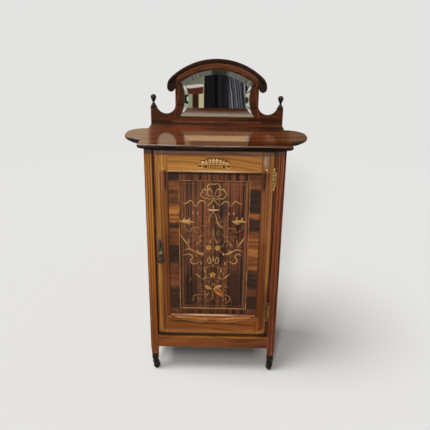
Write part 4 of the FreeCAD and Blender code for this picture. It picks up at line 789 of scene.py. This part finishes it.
        # The left stile is lighter than the right one, partly its own tone and partly painted light from the
        # left.
        dress(polished_wood("stile_wood_left", "Z", paint(78, 42, 20), paint(142, 88, 44), stripes=110.0,
                            seed=12.0, sway=0.6, coat=0.0, shine=0.06, zones=left), "door_stile_left")
        right = [zone(low, (46, 20, 8), (110, 56, 24)),
                 zone(within(z=(690, 900, 50)), (72, 40, 20), (144, 88, 50)),
                 zone(head, (84, 54, 34), (146, 98, 60)), rebate_shadow, corner, tongue_shadow,
                 zone(overlap(edge, upper), (78, 46, 26), (156, 98, 56)),
                 zone(overlap(band, upper), (90, 54, 28), (160, 106, 56)),
                 zone(overlap(band, within(z=(100, 400, 60))), (60, 36, 18), (118, 76, 40)),
                 foot_highlight, painted_sheen, overhang_shadow, foot_shadow]
        dress(polished_wood("stile_wood_right", "Z", paint(62, 30, 14), paint(128, 74, 38), stripes=110.0,
                            seed=15.0, sway=0.6, coat=0.0, shine=0.06, zones=right), "door_stile_right")
        dress(polished_wood("door_head_wood", "X", wood.golden_deep, wood.golden, stripes=40.0, seed=3.0,
                            coat=0.0, contrast=0.8, veins=0.25, shine=0.05, zones=[overhang_shadow]), "door_top_rail")
        dress(polished_wood("door_foot_wood", "X", foot_deep, foot_light, stripes=40.0, seed=5.0, sway=1.2,
                            contrast=0.9, veins=0.4, zones=[foot_highlight, foot_shadow]), "door_bottom_rail")
        # A painted highlight across the middle of the top bead.
        painted_glint = zone(within(x=(-52, 40, 80)), (166, 128, 94), (220, 186, 150))
        dress(polished_wood("bead_top_wood", "X", paint(118, 72, 34), paint(196, 144, 80), seed=2.0,
                            roughness=0.24, coat=0.4, veins=0.2, zones=[painted_glint]), "bead_top")
        # A painted highlight across the middle of the bottom bead.
        painted_gleam = zone(within(x=(-70, 40, 70)), (168, 126, 90), (214, 172, 128))
        dress(polished_wood("bead_bottom_wood", "X", paint(88, 50, 28), paint(152, 98, 62), seed=2.0,
                            roughness=0.24, coat=0.4, veins=0.2, zones=[painted_gleam]), "bead_bottom")
        dress(self.panel(wood), "door_panel")
        return {"FINISHED"}


class CHIFFONIER_OT_top(bpy.types.Operator):
    """Polishes the top board, the gallery, its crest and the finials"""
    bl_idname = "chiffonier.top"
    bl_label = "Top, gallery and finials"

    def execute(self, context):
        wood = context.scene.chiffonier_wood
        bay = (-90, 300, 60)
        # The zones are the two ears, a darker front strip, a painted shadow under the lip, a darker lip face
        # and a painted highlight along the lip's arris.
        zones = [zone(within(x=(-400, -290, 60)), (78, 46, 26), (138, 88, 50)),
                 zone(within(x=(290, 400, 60)), (60, 34, 16), (112, 68, 38)),
                 zone(within(x=bay, y=(-230, -132, 22)), (34, 14, 6), (96, 46, 18)),
                 zone(within(z=(1040, 1067.5, 1)), (14, 9, 8), (42, 29, 25)),
                 zone(within(z=(1068.5, 1077, 0.6)), (30, 18, 13), (70, 46, 34)),
                 zone(within(x=(-130, 215, 90), z=(1074.6, 1077.4, 0.6)), (84, 66, 62), (160, 138, 134))]
        dull = either(within(z=(1040, 1073.5, 1.5)), within(x=bay, y=(-230, -140, 26)))
        dress(polished_wood("top_wood", "X", paint(46, 18, 8), paint(126, 60, 24), stripes=44.0, seed=6.0,
                            sway=1.2, veins=0.6, zones=zones, coat=1.0, coat_roughness=0.09, coat_ior=1.55,
                            roughness=0.3, shine=0.0, rubbed_off=dull), "top_board")
        # Painted shade, with some dirt, at the foot of the gallery's left part, where it meets the top.
        gallery_foot_shade_and_dirt = zone(within(x=(-300, -150, 60), z=(1078, 1090, 6)), (16, 8, 5), (56, 30, 16))
        dress(polished_wood("gallery_wood", "X", wood.gallery_deep, wood.gallery, stripes=44.0, seed=2.0,
                            sway=1.2, contrast=1.1, veins=0.5, coat=0.2, coat_roughness=0.08, shine=0.08,
                            zones=[gallery_foot_shade_and_dirt]), "gallery_board")
        rings = [zone(within(z=(291.5, 320, 3)), (16, 9, 7), (50, 29, 20)),
                 zone(within(z=(277, 284, 3)), (52, 30, 20), (140, 92, 64)),
                 zone(within(z=(268, 273, 1)), (62, 30, 14), (142, 82, 42)),
                 zone(within(sides=(180, 240, 8)), (18, 12, 9), (54, 36, 26))]
        dress(polished_wood("crest_wood", "X", paint(26, 14, 9), paint(88, 48, 29), stripes=160.0, seed=4.0,
                            sway=0.4, round_centre=1061.0, zones=rings, coat=0.25, coat_roughness=0.08,
                            shine=0.08, veins=0.4), "crest")
        dress(polished_wood("finial_wood", "Z", paint(8, 6, 6), paint(32, 22, 18), stripes=120.0, seed=4.0,
                            coat=0.25, coat_roughness=0.14), "finial_left", "finial_right")
        return {"FINISHED"}


def inlay_finish(name, light, dark, seed):
    """A pale close-grained wood with a warm tone that changes from piece to piece."""
    finish = Finish(name)
    x, y, z = finish.place()
    tone = finish.noise(x * 30.0 + seed, y, z * 30.0)
    fibre = finish.noise(x * 700.0, y, z * 90.0 + seed)
    share = ((tone - 0.5) * 2.6 + 0.5 + (fibre - 0.5) * 0.5).clamped()
    return finish.shader(Base_Color=finish.mix(share, dark, light), Roughness=0.32 + fibre * 0.12,
                         Normal=finish.bump(fibre, 0.2, 0.0001), Coat_Weight=0.15, Coat_Roughness=0.1,
                         Specular_IOR_Level=0.25)


class CHIFFONIER_OT_stringing(bpy.types.Operator):
    """Lays the stringing round the door panel and on the gallery"""
    bl_idname = "chiffonier.stringing"
    bl_label = "Stringing"

    # Left, right, foot, head and width beyond the usual of each frame on the panel, in millimetres.
    frames = {
        "outer": (-146.0, 144.0, 331.0, 926.5, 1.0),
        "inner": (-131.0, 129.0, 347.0, 913.0, -0.8),
        "black": (-142.2, 140.2, 334.8, 922.7, -0.6),
    }
    foot = [("line", 5.0, -144, 335, -1, 335, 142, 335)]
    arch = [
        ("line", 2.6, 0, 1327, 40, 1324, 75, 1315.5, 119, 1300, 155, 1282, 181, 1264),
        ("line", 2.6, 181, 1264, 176, 1255, 170, 1243, 171, 1215, 177, 1180, 184, 1140, 188, 1108),
    ]
    rail = [("line", 2.8, -204, 1090, 0, 1090, 204, 1090), ("line", 1.2, -200, 1085, 0, 1085, 200, 1085)]

    def execute(self, context):
        inlay = context.scene.chiffonier_inlay
        width, stand = inlay.string / MM, inlay.stand
        woods = {
            "outer": inlay_finish("string_wood", paint(170, 110, 58), paint(106, 64, 34), seed=3.0),
            "inner": inlay_finish("faint_string_wood", paint(146, 92, 50), paint(84, 52, 32), seed=6.0),
            "black": inlay_finish("black_string_wood", paint(38, 26, 22), paint(18, 12, 12), seed=5.0),
        }
        for place, (left, right, foot, head, extra) in self.frames.items():
            frame_shape = string_frame(left, right, foot, head, width + extra, PANEL_FACE, stand)
            settle(f"panel_string_{place}", frame_shape, woods[place], "door")
        foot_wood = inlay_finish("foot_string_wood", paint(166, 112, 58), paint(112, 70, 36), seed=9.0)
        foot_shape = stroke_shape(self.foot, PANEL_FACE, stand * RAISED)
        settle("panel_string_foot", foot_shape, foot_wood, "door")
        reddish = inlay_finish("gallery_string_wood", paint(158, 88, 50), paint(96, 48, 30), seed=8.0)
        gallery = stroke_shape(mirrored(self.arch, 0.0) + self.rail, GALLERY_FACE, stand)
        settle("gallery_string", gallery, reddish, "cabinet")
        return {"FINISHED"}


class CHIFFONIER_OT_marquetry(bpy.types.Operator):
    """Lays the arabesque of ribbons, scrolls, birds and flowers in the door panel"""
    bl_idname = "chiffonier.marquetry"
    bl_label = "Marquetry"

    # The name, the wood and the strokes of each piece.
    pieces = [
        ("marquetry_bow", "pale", [
            ("band", 5, -24, 884, -29, 896, -26, 908, -14, 912, -2, 911, 11, 913, 20, 907, 23, 896, 18, 886),
            ("band", 4.2, -6, 853, -9, 872, -14, 886, -23, 892, -31, 884, -40, 890, -50, 884, -47, 876,
                     -57, 870, -51, 860, -41, 850, -31, 852, -19, 847, -6, 851),
            ("band", 3.4, -8, 856, -16, 862, -26, 864, -31, 870, -28, 876, -29, 884),
            ("band", 4.2, -1, 853, 3, 872, 8, 886, 18, 892, 26, 887, 35, 892, 40, 882, 47, 876, 49, 866,
                     42, 858, 34, 849, 22, 851, 10, 847, -1, 851),
            ("band", 3.4, 3, 856, 13, 858, 22, 864, 28, 870, 22, 877, 25, 885),
            ("leaf", 8, -7, 851, -3, 850, 2, 851),
            ("band", 4.4, -34, 824, -41, 835, -50, 840, -62, 836, -69, 824, -74, 813),
            ("band", 4.4, -74, 813, -81, 818, -88, 832, -97, 840, -108, 833, -117, 827, -129, 829),
            ("band", 4.4, 26, 821, 34, 831, 44, 838, 54, 836, 59, 826, 62, 815),
            ("band", 4.4, 68, 818, 76, 830, 86, 840, 96, 835, 104, 829, 112, 831),
            ("point", 4.4, -6, 845, -13, 833, -26, 821, -34, 820),
            ("point", 4.4, 0, 845, 7, 832, 18, 822, 27, 821),
        ]),
        ("marquetry_tazza", "pale", [
            ("leaf", 11, -29, 802, -16, 800, -4, 799, 9, 800, 22, 802),
            ("leaf", 6, -4, 822, -4, 813, -4, 805),
            ("leaf", 4.5, -4, 799, -4, 791, -4, 782),
            ("leaf", 6.5, -88, 794, -87, 786, -86, 778),
            ("leaf", 6.5, -69, 792, -68, 786, -67, 779),
            ("leaf", 6.5, 59, 790, 60, 784, 62, 777),
            ("leaf", 6.5, 79, 793, 80, 786, 81, 779),
        ]),
        ("marquetry_birds", "gold", [
            ("leaf", 17, -143, 750, -126, 746, -108, 748, -82, 744),
            ("leaf", 7.5, -114, 748, -106, 756, -98, 763),
            ("leaf", 6.5, -130, 748, -125, 757, -121, 764),
            ("leaf", 5, -114, 742, -104, 737, -95, 737),
            ("leaf", 16, 72, 751, 90, 749, 108, 751, 134, 750),
            ("leaf", 8, 88, 752, 92, 762, 96, 772),
            ("leaf", 7, 108, 750, 114, 760, 116, 770),
            ("leaf", 5, 84, 744, 96, 739, 106, 742),
        ]),
        ("marquetry_falls", "tan", [
            ("leaf", 7, -8, 788, -16, 772, -22, 756, -27, 734),
            ("leaf", 8, 1, 788, 8, 768, 14, 746, 25, 726, 44, 717),
            ("band", 3.2, -98, 708, -92, 719, -82, 722, -68, 718, -60, 712),
            ("band", 3.2, 58, 708, 66, 718, 76, 721, 88, 717, 93, 708),
            ("leaf", 8.5, -3, 722, -3, 694, -2, 668),
            ("point", 3.4, -15, 652, -10, 668, -6, 690, -4, 716),
            ("point", 3.4, 11, 652, 6, 668, 1, 690, -2, 716),
            ("leaf", 4.5, -6, 668, -12, 662, -17, 652, -10, 650),
            ("leaf", 4.5, 1, 668, 7, 661, 13, 652, 7, 650),
            ("leaf", 6, -70, 648, -62, 656, -50, 658),
            ("leaf", 6, 42, 654, 58, 660, 72, 648),
            ("leaf", 6, -76, 660, -70, 650, -74, 640),
            ("leaf", 7.5, 64, 652, 74, 644, 76, 632),
        ]),
        ("marquetry_boughs", "straw", [
            ("leaf", 7, -143, 690, -131, 673, -119, 656, -105, 634, -96, 620),
            ("leaf", 6, -108, 672, -106, 655, -112, 640),
            ("leaf", 9, 128, 680, 116, 660, 106, 645, 94, 630),
            ("leaf", 6, 92, 668, 98, 655, 94, 642),
            ("leaf", 8, -126, 614, -110, 622, -92, 618, -78, 608),
            ("band", 4.2, -96, 622, -82, 612, -70, 604, -56, 598, -40, 597),
            ("leaf", 10, -74, 620, -68, 610, -58, 603, -46, 600),
            ("leaf", 7, -52, 588, -48, 598, -45, 610),
            ("leaf", 8, 124, 610, 108, 620, 92, 620, 78, 612),
            ("leaf", 12, 84, 616, 72, 610, 60, 602, 44, 600),
            ("leaf", 8, 36, 612, 40, 600, 46, 590),
            ("leaf", 6, 60, 622, 66, 612, 76, 606),
        ]),
        ("marquetry_scrolls", "pale", [
            ("band", 4.6, -130, 590, -118, 596, -104, 598, -94, 592, -91, 582, -98, 570, -96, 558, -84, 552,
                     -72, 556, -62, 564),
            ("leaf", 6, -60, 566, -54, 558, -54, 546),
            ("band", 4.6, 118, 592, 108, 601, 98, 600, 90, 590, 98, 576, 96, 562, 84, 556, 72, 562, 60, 570),
            ("leaf", 6, 54, 566, 48, 558, 50, 546),
            ("ring", 3.6, -20, 584, -27, 575, -25, 563, -15, 555, -12, 566, -15, 576),
            ("ring", 3.6, 13, 584, 21, 575, 18, 563, 9, 555, 6, 566, 9, 576),
            ("leaf", 6, -3, 590, -2, 576, -3, 562),
            ("leaf", 4, -3, 556, -3, 546, -2, 534),
        ]),
        ("marquetry_lower_leaves", "gold", [
            ("leaf", 8, -42, 530, -37, 520, -33, 508),
            ("band", 3.2, -33, 508, -32, 494, -40, 482, -50, 478),
            ("leaf", 8, -78, 506, -66, 496, -54, 482),
            ("leaf", 8, 33, 532, 31, 520, 28, 510),
            ("band", 3.2, 28, 508, 26, 494, 32, 482, 40, 478),
            ("leaf", 7.5, 40, 480, 54, 492, 70, 508),
            ("leaf", 3.6, 48, 516, 42, 508, 46, 498),
            ("leaf", 22, -38, 446, -24, 439, -7, 430),
            ("leaf", 13, -30, 449, -20, 440, -12, 430),
            ("leaf", 22, 35, 448, 18, 440, 0, 430),
            ("leaf", 13, 28, 452, 18, 442, 8, 432),
            ("leaf", 3.5, -12, 436, -6, 450, -6, 466),
            ("leaf", 3.5, 2, 436, 6, 452, 2, 466),
            ("leaf", 7, -38, 412, -28, 402, -20, 412),
            ("leaf", 3.2, -92, 486, -100, 478, -104, 468),
        ]),
        ("marquetry_amber_leaves", "amber", [
            ("leaf", 16, 0, 430, 16, 414, 34, 402, 46, 394),
            ("leaf", 11, 10, 437, 28, 426, 42, 406),
        ]),
    ]
    foot_scrolls = [
        ("band", 4.2, -96, 362, -88, 380, -84, 396, -66, 402, -48, 402, -36, 392, -26, 366),
        ("leaf", 5, -72, 394, -64, 378, -66, 360),
        ("band", 4.2, 24, 392, 40, 402, 56, 402, 68, 396, 72, 382, 62, 366, 54, 360),
        ("leaf", 4.6, 70, 396, 74, 384, 80, 362),
        ("leaf", 4, -20, 372, -10, 380, 0, 384),
        ("leaf", 3, 8, 374, 20, 368, 28, 380),
    ]
    stems = [
        ("band", 2.2, -3, 666, -3, 640, -3, 612, -3, 592),
        ("band", 2, -9, 548, -20, 538, -36, 534, -42, 524),
        ("band", 2, -22, 700, -40, 690, -56, 676, -52, 660),
        ("band", 2, -60, 712, -50, 700, -54, 686, -66, 680, -74, 690),
        ("band", 2, -6, 488, -14, 474, -22, 462, -18, 450),
        ("band", 2, -118, 742, -124, 728, -120, 712, -106, 706),
        ("band", 2.2, -5, 426, -5, 410, -6, 392, -12, 378),
        ("band", 2, -12, 786, -24, 774, -34, 758, -30, 742),
        ("band", 2, -84, 690, -76, 676, -84, 664, -94, 656),
    ]
    # The x and z of the heart of each flower, its reach, its number of petals and their width.
    flowers = ((-4.0, 500.0, 15.0, 5, 12.0), (-21.5, 629.0, 14.0, 7, 9.5), (15.5, 629.0, 14.0, 7, 9.5))
    # A volute's width, its number of points and the angle between them; then its x, z, reach and first angle.
    curl_width = 2.7
    curl_points = 7
    curl_turn = 46.0
    curls = ((-40, 742, 13, 200), (-70, 706, 15, 20), (-26, 700, 10, 250), (-100, 712, 11, 150),
             (-52, 668, 12, 60), (-96, 676, 9, 300), (-22, 664, 9, 120), (-68, 636, 10, 330),
             (-112, 640, 8, 200), (-38, 640, 8, 90), (-70, 590, 8, 20), (-32, 540, 9, 160),
             (-60, 530, 8, 280), (-24, 478, 9, 40), (-60, 452, 10, 200), (-44, 424, 9, 100),
             (-58, 376, 8, 330), (-30, 612, 7, 10), (-56, 760, 9, 80), (-18, 746, 7, 190))

    def curl(self, x, z, reach, start):
        """Gives a small volute as a stroke."""
        stroke = ["band", self.curl_width]
        for step in range(self.curl_points):
            turn = math.radians(start + self.curl_turn * step)
            away = reach * (1.25 - 0.13 * step)
            stroke += [x + away * math.cos(turn), z + away * math.sin(turn)]
        return stroke

    def flower(self, x, z, reach, petals, petal_width):
        """Gives the petals of a flower as strokes."""
        strokes = []
        for petal in range(petals):
            turn = math.radians(90.0 + 360.0 * petal / petals)
            stroke = ["leaf", petal_width]
            for share in (0.12, 0.6, 1.0):
                stroke += [x + math.cos(turn) * share * reach, z + math.sin(turn) * share * reach]
            strokes.append(stroke)
        return strokes

    def execute(self, context):
        inlay = context.scene.chiffonier_inlay
        woods = {
            "pale": inlay_finish("inlay_pale", inlay.pale, inlay.tan, seed=1.0),
            "tan": inlay_finish("inlay_tan", inlay.tan, paint(136, 86, 46), seed=2.0),
            "gold": inlay_finish("inlay_gold", paint(192, 146, 78), paint(150, 100, 46), seed=3.0),
            "straw": inlay_finish("inlay_straw", paint(180, 134, 76), paint(138, 90, 46), seed=7.0),
            "amber": inlay_finish("inlay_amber", paint(176, 106, 40), paint(134, 74, 26), seed=4.0),
            "honey": inlay_finish("inlay_honey", paint(182, 130, 56), paint(144, 94, 38), seed=6.0),
            "sepia": inlay_finish("inlay_sepia", paint(164, 108, 54), paint(106, 66, 34), seed=5.0),
        }
        flowers = [petal for values in self.flowers for petal in self.flower(*values)]
        curls = mirrored([self.curl(*values) for values in self.curls], PANEL_AXIS)
        pieces = self.pieces + [("marquetry_stems", "tan", mirrored(self.stems, PANEL_AXIS)),
                                ("marquetry_flowers", "honey", flowers),
                                ("marquetry_foot_scrolls", "sepia", self.foot_scrolls),
                                ("marquetry_curls", "sepia", curls)]
        for level, (name, wood, strokes) in enumerate(pieces):
            shape = stroke_shape(strokes, PANEL_FACE, inlay.stand + level * LAYER_STEP)
            settle(name, shape, woods[wood], "door")
        eyes = [("leaf", 7.0, x - 3.0, z, x, z, x + 3.0, z) for x, z, *_ in self.flowers]
        eye_shape = stroke_shape(eyes, PANEL_FACE, inlay.stand * EYE_RAISED)
        settle("marquetry_flower_eyes", eye_shape, woods["amber"], "door")
        return {"FINISHED"}


class CHIFFONIER_OT_carving(bpy.types.Operator):
    """Carves the shell, the buttons, the stop blocks and the swag on the door's rails"""
    bl_idname = "chiffonier.carving"
    bl_label = "Carving"

    # The x, z and half height of the shell's lobes, in millimetres, and the strokes of the bar below them.
    lobes = ((-47, 1001, 7), (-34, 1005, 8.5), (-20, 1008, 9.5), (-6, 1009, 10.5), (8, 1009, 10.5),
             (22, 1007, 9.5), (35, 1004, 8.5), (47, 1000, 7))
    shell_bar = [
        ("band", 5.0, -74, 990, -50, 994.5, -2, 996, 46, 994.5, 70, 990),
        ("band", 4.2, -74, 990, -66, 983, -54, 982, -47, 987, -53, 991),
        ("band", 4.2, 70, 990, 62, 983, 50, 982, 43, 987, 49, 991),
        ("leaf", 6.0, -64, 996, -54, 1004, -44, 1009),
        ("leaf", 6.0, 60, 996, 52, 1003, 44, 1007),
    ]
    # Lobes as pillows takes them.
    ground = [(-1, 1003, 58, 17.5, 1.3, 0), (-1, 988, 66, 8.5, 1.1, 0)]
    knob = [(-2, 286, 15, 8, 3.6, 0)]
    swag = mirrored([("leaf", 34.0, -172, 292, -130, 287, -92, 282, -52, 277, -26, 282, -12, 290)], -2.0)
    # The strokes of a dark line laid beneath the swag: a painted shadow.
    outline = mirrored([
        ("band", 2.8, -176, 281, -140, 279, -112, 274, -74, 268, -44, 262, -22, 270, -12, 277),
    ], 0.0)

    def shell(self):
        """Gives the lobes of the shell, the teeth below them and the bar with its scrolls between."""
        lobes = [(x, z, 7.0, tall, 5.0, x * 0.55) for x, z, tall in self.lobes]
        teeth = [(x, 986.5, 2.5, 5.5, 3.4, x * -0.5) for x in range(-28, 29, 7)]
        shape = pillows(lobes + teeth, RAIL_FACE)
        bar = stroke_shape(self.shell_bar, RAIL_FACE, 0.0022)
        mesh = bpy.data.meshes.new("bar")
        bar.to_mesh(mesh)
        bar.free()
        shape.from_mesh(mesh)
        bpy.data.meshes.remove(mesh)
        return shape

    def stop_blocks(self):
        """Gives the two rounded blocks that end the stiles' mouldings."""
        shape = bmesh.new()
        length, depth, tall = 26.0 * MM, 4.6 * MM, 10.0 * MM
        for x in (-191.0, 191.0):
            centre = Matrix.Translation((x * MM, RAIL_FACE + 0.0002, 287.0 * MM))
            size = Matrix.Diagonal((length, depth, tall, 1.0))
            turn = Matrix.Rotation(math.radians(90.0), 4, "Y")
            made = bmesh.ops.create_cone(shape, cap_ends=True, segments=24, radius1=1.0, radius2=1.0,
                                         depth=1.0, matrix=centre @ size @ turn)
            rims = list({edge for corner in made["verts"] for edge in corner.link_edges
                         if abs(edge.verts[0].co.x - edge.verts[1].co.x) < 1e-6})
            bmesh.ops.bevel(shape, geom=rims, offset=0.0012, offset_type="OFFSET", segments=2, profile=0.5,
                            affect="EDGES", material=-1)
        return shape

    def execute(self, context):
        # A painted highlight on the crown of the shell's middle lobes.
        shell_highlight = zone(within(x=(-18, 14, 14), z=(1013.5, 1030, 2.5)), (196, 156, 104), (244, 222, 184))
        pale = polished_wood("carved_head_wood", "X", paint(136, 88, 40), paint(218, 168, 94), seed=4.0,
                             roughness=0.22, coat=0.9, coat_roughness=0.08, veins=0.2, zones=[shell_highlight])
        foot = polished_wood("carved_foot_wood", "X", paint(82, 44, 14), paint(164, 100, 38), seed=6.0,
                             roughness=0.3, coat=0.2)
        # The ground behind the shell is dark: painted shade in the gaps between the lobes.
        shaded_ground = polished_wood("carved_ground_wood", "X", paint(62, 34, 16), paint(122, 74, 34), seed=9.0,
                               coat=0.0)
        blocks = polished_wood("carved_block_wood", "X", paint(56, 28, 10), paint(122, 70, 28), seed=3.0,
                               coat=0.0)
        # A painted shadow beneath the swag.
        shadow = inlay_finish("carved_swag_shadow_wood", paint(64, 34, 16), paint(32, 18, 10), seed=7.0)
        buttons = pillows([(side * 206, 975, 5, 5, 3.4, 0) for side in (-1, 1)], RAIL_FACE + 0.0015)
        for name, shape, material in (
                ("carved_shell", self.shell(), pale),
                ("carved_ground", pillows(self.ground, RAIL_FACE), shaded_ground),
                ("carved_buttons", buttons, pale),
                ("carved_stop_blocks", self.stop_blocks(), blocks),
                ("carved_swag", stroke_shape(self.swag, RAIL_FACE, 0.0014), foot),
                ("carved_swag_shadow", stroke_shape(self.outline, RAIL_FACE, 0.0004), shadow),
                ("carved_knob", pillows(self.knob, RAIL_FACE), foot)):
            settle(name, shape, material, "door")
        return {"FINISHED"}


class CHIFFONIER_OT_mirror(bpy.types.Operator):
    """Silvers the bevelled mirror plate"""
    bl_idname = "chiffonier.mirror"
    bl_label = "Mirror plate"

    def execute(self, context):
        finish = Finish("mirror_plate")
        x, y, z = finish.place()
        haze = finish.noise(x, y, z, scale=14.0, detail=4.0)
        spots = finish.noise(x, y, z, scale=90.0, detail=3.0).past(0.66, 9.0)
        foxed = spots * finish.noise(x, y, z, scale=6.0).past(0.45, 4.0)
        colour = finish.mix(foxed * 0.7, paint(222, 222, 220), paint(88, 80, 72))
        # A pale, less metallic band at the plate's foot: a painted reflection.
        foot = finish.band(z, 1090, 1124, 1.5)
        colour = finish.mix(foot, colour, paint(186, 178, 150))
        dress(finish.shader(Base_Color=colour, Metallic=1.0 - foot * 0.7,
                            Roughness=0.015 + ((haze - 0.5) * 0.05).clamped()), "mirror_glass")
        return {"FINISHED"}


def aged_metal(name, light, dark, roughness, seed, scale=160.0, wear=1.0):
    """A worn metal with a dark skin in patches and bright rubbed places."""
    finish = Finish(name)
    x, y, z = finish.place()
    patches = finish.noise(x + seed, y, z, scale=scale, detail=5.0, roughness=0.65)
    grit = finish.noise(x + seed, y, z, scale=scale * 9.0)
    share = ((patches - 0.5) * (3.2 * wear) + 0.5 + (grit - 0.5) * 0.3).clamped()
    return finish.shader(Base_Color=finish.mix(share, dark, light), Metallic=1.0,
                         Roughness=roughness + (0.5 - patches) * 0.35,
                         Normal=finish.bump(patches * 0.6 + grit * 0.4, 0.35, 0.0002))


class CHIFFONIER_OT_metal(bpy.types.Operator):
    """Gives the brass, the steel and the castors their worn skin"""
    bl_idname = "chiffonier.metal"
    bl_label = "Brass, steel and castors"

    def execute(self, context):
        brass = aged_metal("hinge_brass", paint(240, 214, 138), paint(88, 60, 24), roughness=0.34, seed=1.0,
                           scale=190.0, wear=1.3)
        for part in ("door_leaf", "fixed_leaf", "pin"):
            dress(brass, f"hinge_{part}_upper", f"hinge_{part}_lower")
        dress(aged_metal("antique_brass", paint(168, 152, 122), paint(42, 37, 30), roughness=0.42, seed=3.0,
                         scale=220.0, wear=1.3), "handle_plate", "handle_stud", "drop_handle")
        dress(aged_metal("lock_steel", paint(150, 146, 140), paint(78, 70, 64), roughness=0.36, seed=5.0),
              "lock_case", "lock_bolt", "strike_plate")
        bronze = aged_metal("castor_bronze", paint(66, 56, 46), paint(14, 12, 10), roughness=0.42, seed=7.0)
        tread = aged_metal("castor_tread", paint(70, 60, 50), paint(14, 12, 10), roughness=0.34, seed=9.0,
                           scale=260.0)
        dress(bronze, "castor_cups")
        for corner in ("front_left", "front_right", "rear_left", "rear_right"):
            dress(bronze, f"castor_fork_{corner}", f"castor_axle_{corner}")
            dress(tread, f"castor_wheel_{corner}")
        return {"FINISHED"}


class CHIFFONIER_PT_panel(bpy.types.Panel):
    """Lists the steps that dress the cabinet"""
    bl_idname = "CHIFFONIER_PT_panel"
    bl_label = "Inlaid chiffonier"
    bl_space_type = "VIEW_3D"
    bl_region_type = "UI"
    bl_category = "Chiffonier"

    def draw(self, context):
        for step in STEPS:
            self.layout.operator(step.bl_idname)
        for name in SETTINGS:
            for setting in getattr(context.scene, name).bl_rna.properties:
                if setting.identifier not in ("rna_type", "name"):
                    self.layout.prop(getattr(context.scene, name), setting.identifier)


STEPS = (
    CHIFFONIER_OT_camera, CHIFFONIER_OT_stage, CHIFFONIER_OT_carcass, CHIFFONIER_OT_door, CHIFFONIER_OT_top,
    CHIFFONIER_OT_stringing, CHIFFONIER_OT_marquetry, CHIFFONIER_OT_carving, CHIFFONIER_OT_mirror,
    CHIFFONIER_OT_metal,
)
SETTINGS = {
    "chiffonier_view": ViewSettings,
    "chiffonier_stage": StageSettings,
    "chiffonier_wood": WoodSettings,
    "chiffonier_inlay": InlaySettings,
}


def register():
    for group in SETTINGS.values():
        bpy.utils.register_class(group)
    for name, group in SETTINGS.items():
        setattr(bpy.types.Scene, name, PointerProperty(type=group))
    for step in (*STEPS, CHIFFONIER_PT_panel):
        bpy.utils.register_class(step)


def unregister():
    for step in reversed((*STEPS, CHIFFONIER_PT_panel)):
        bpy.utils.unregister_class(step)
    for name in SETTINGS:
        delattr(bpy.types.Scene, name)
    for group in reversed(list(SETTINGS.values())):
        bpy.utils.unregister_class(group)


def main():
    """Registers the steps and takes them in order."""
    register()
    for step in STEPS:
        family, verb = step.bl_idname.split(".")
        if getattr(getattr(bpy.ops, family), verb)() != {"FINISHED"}:
            raise RuntimeError(f"{step.bl_label} was not finished")


if __name__ == "__main__":
    main()
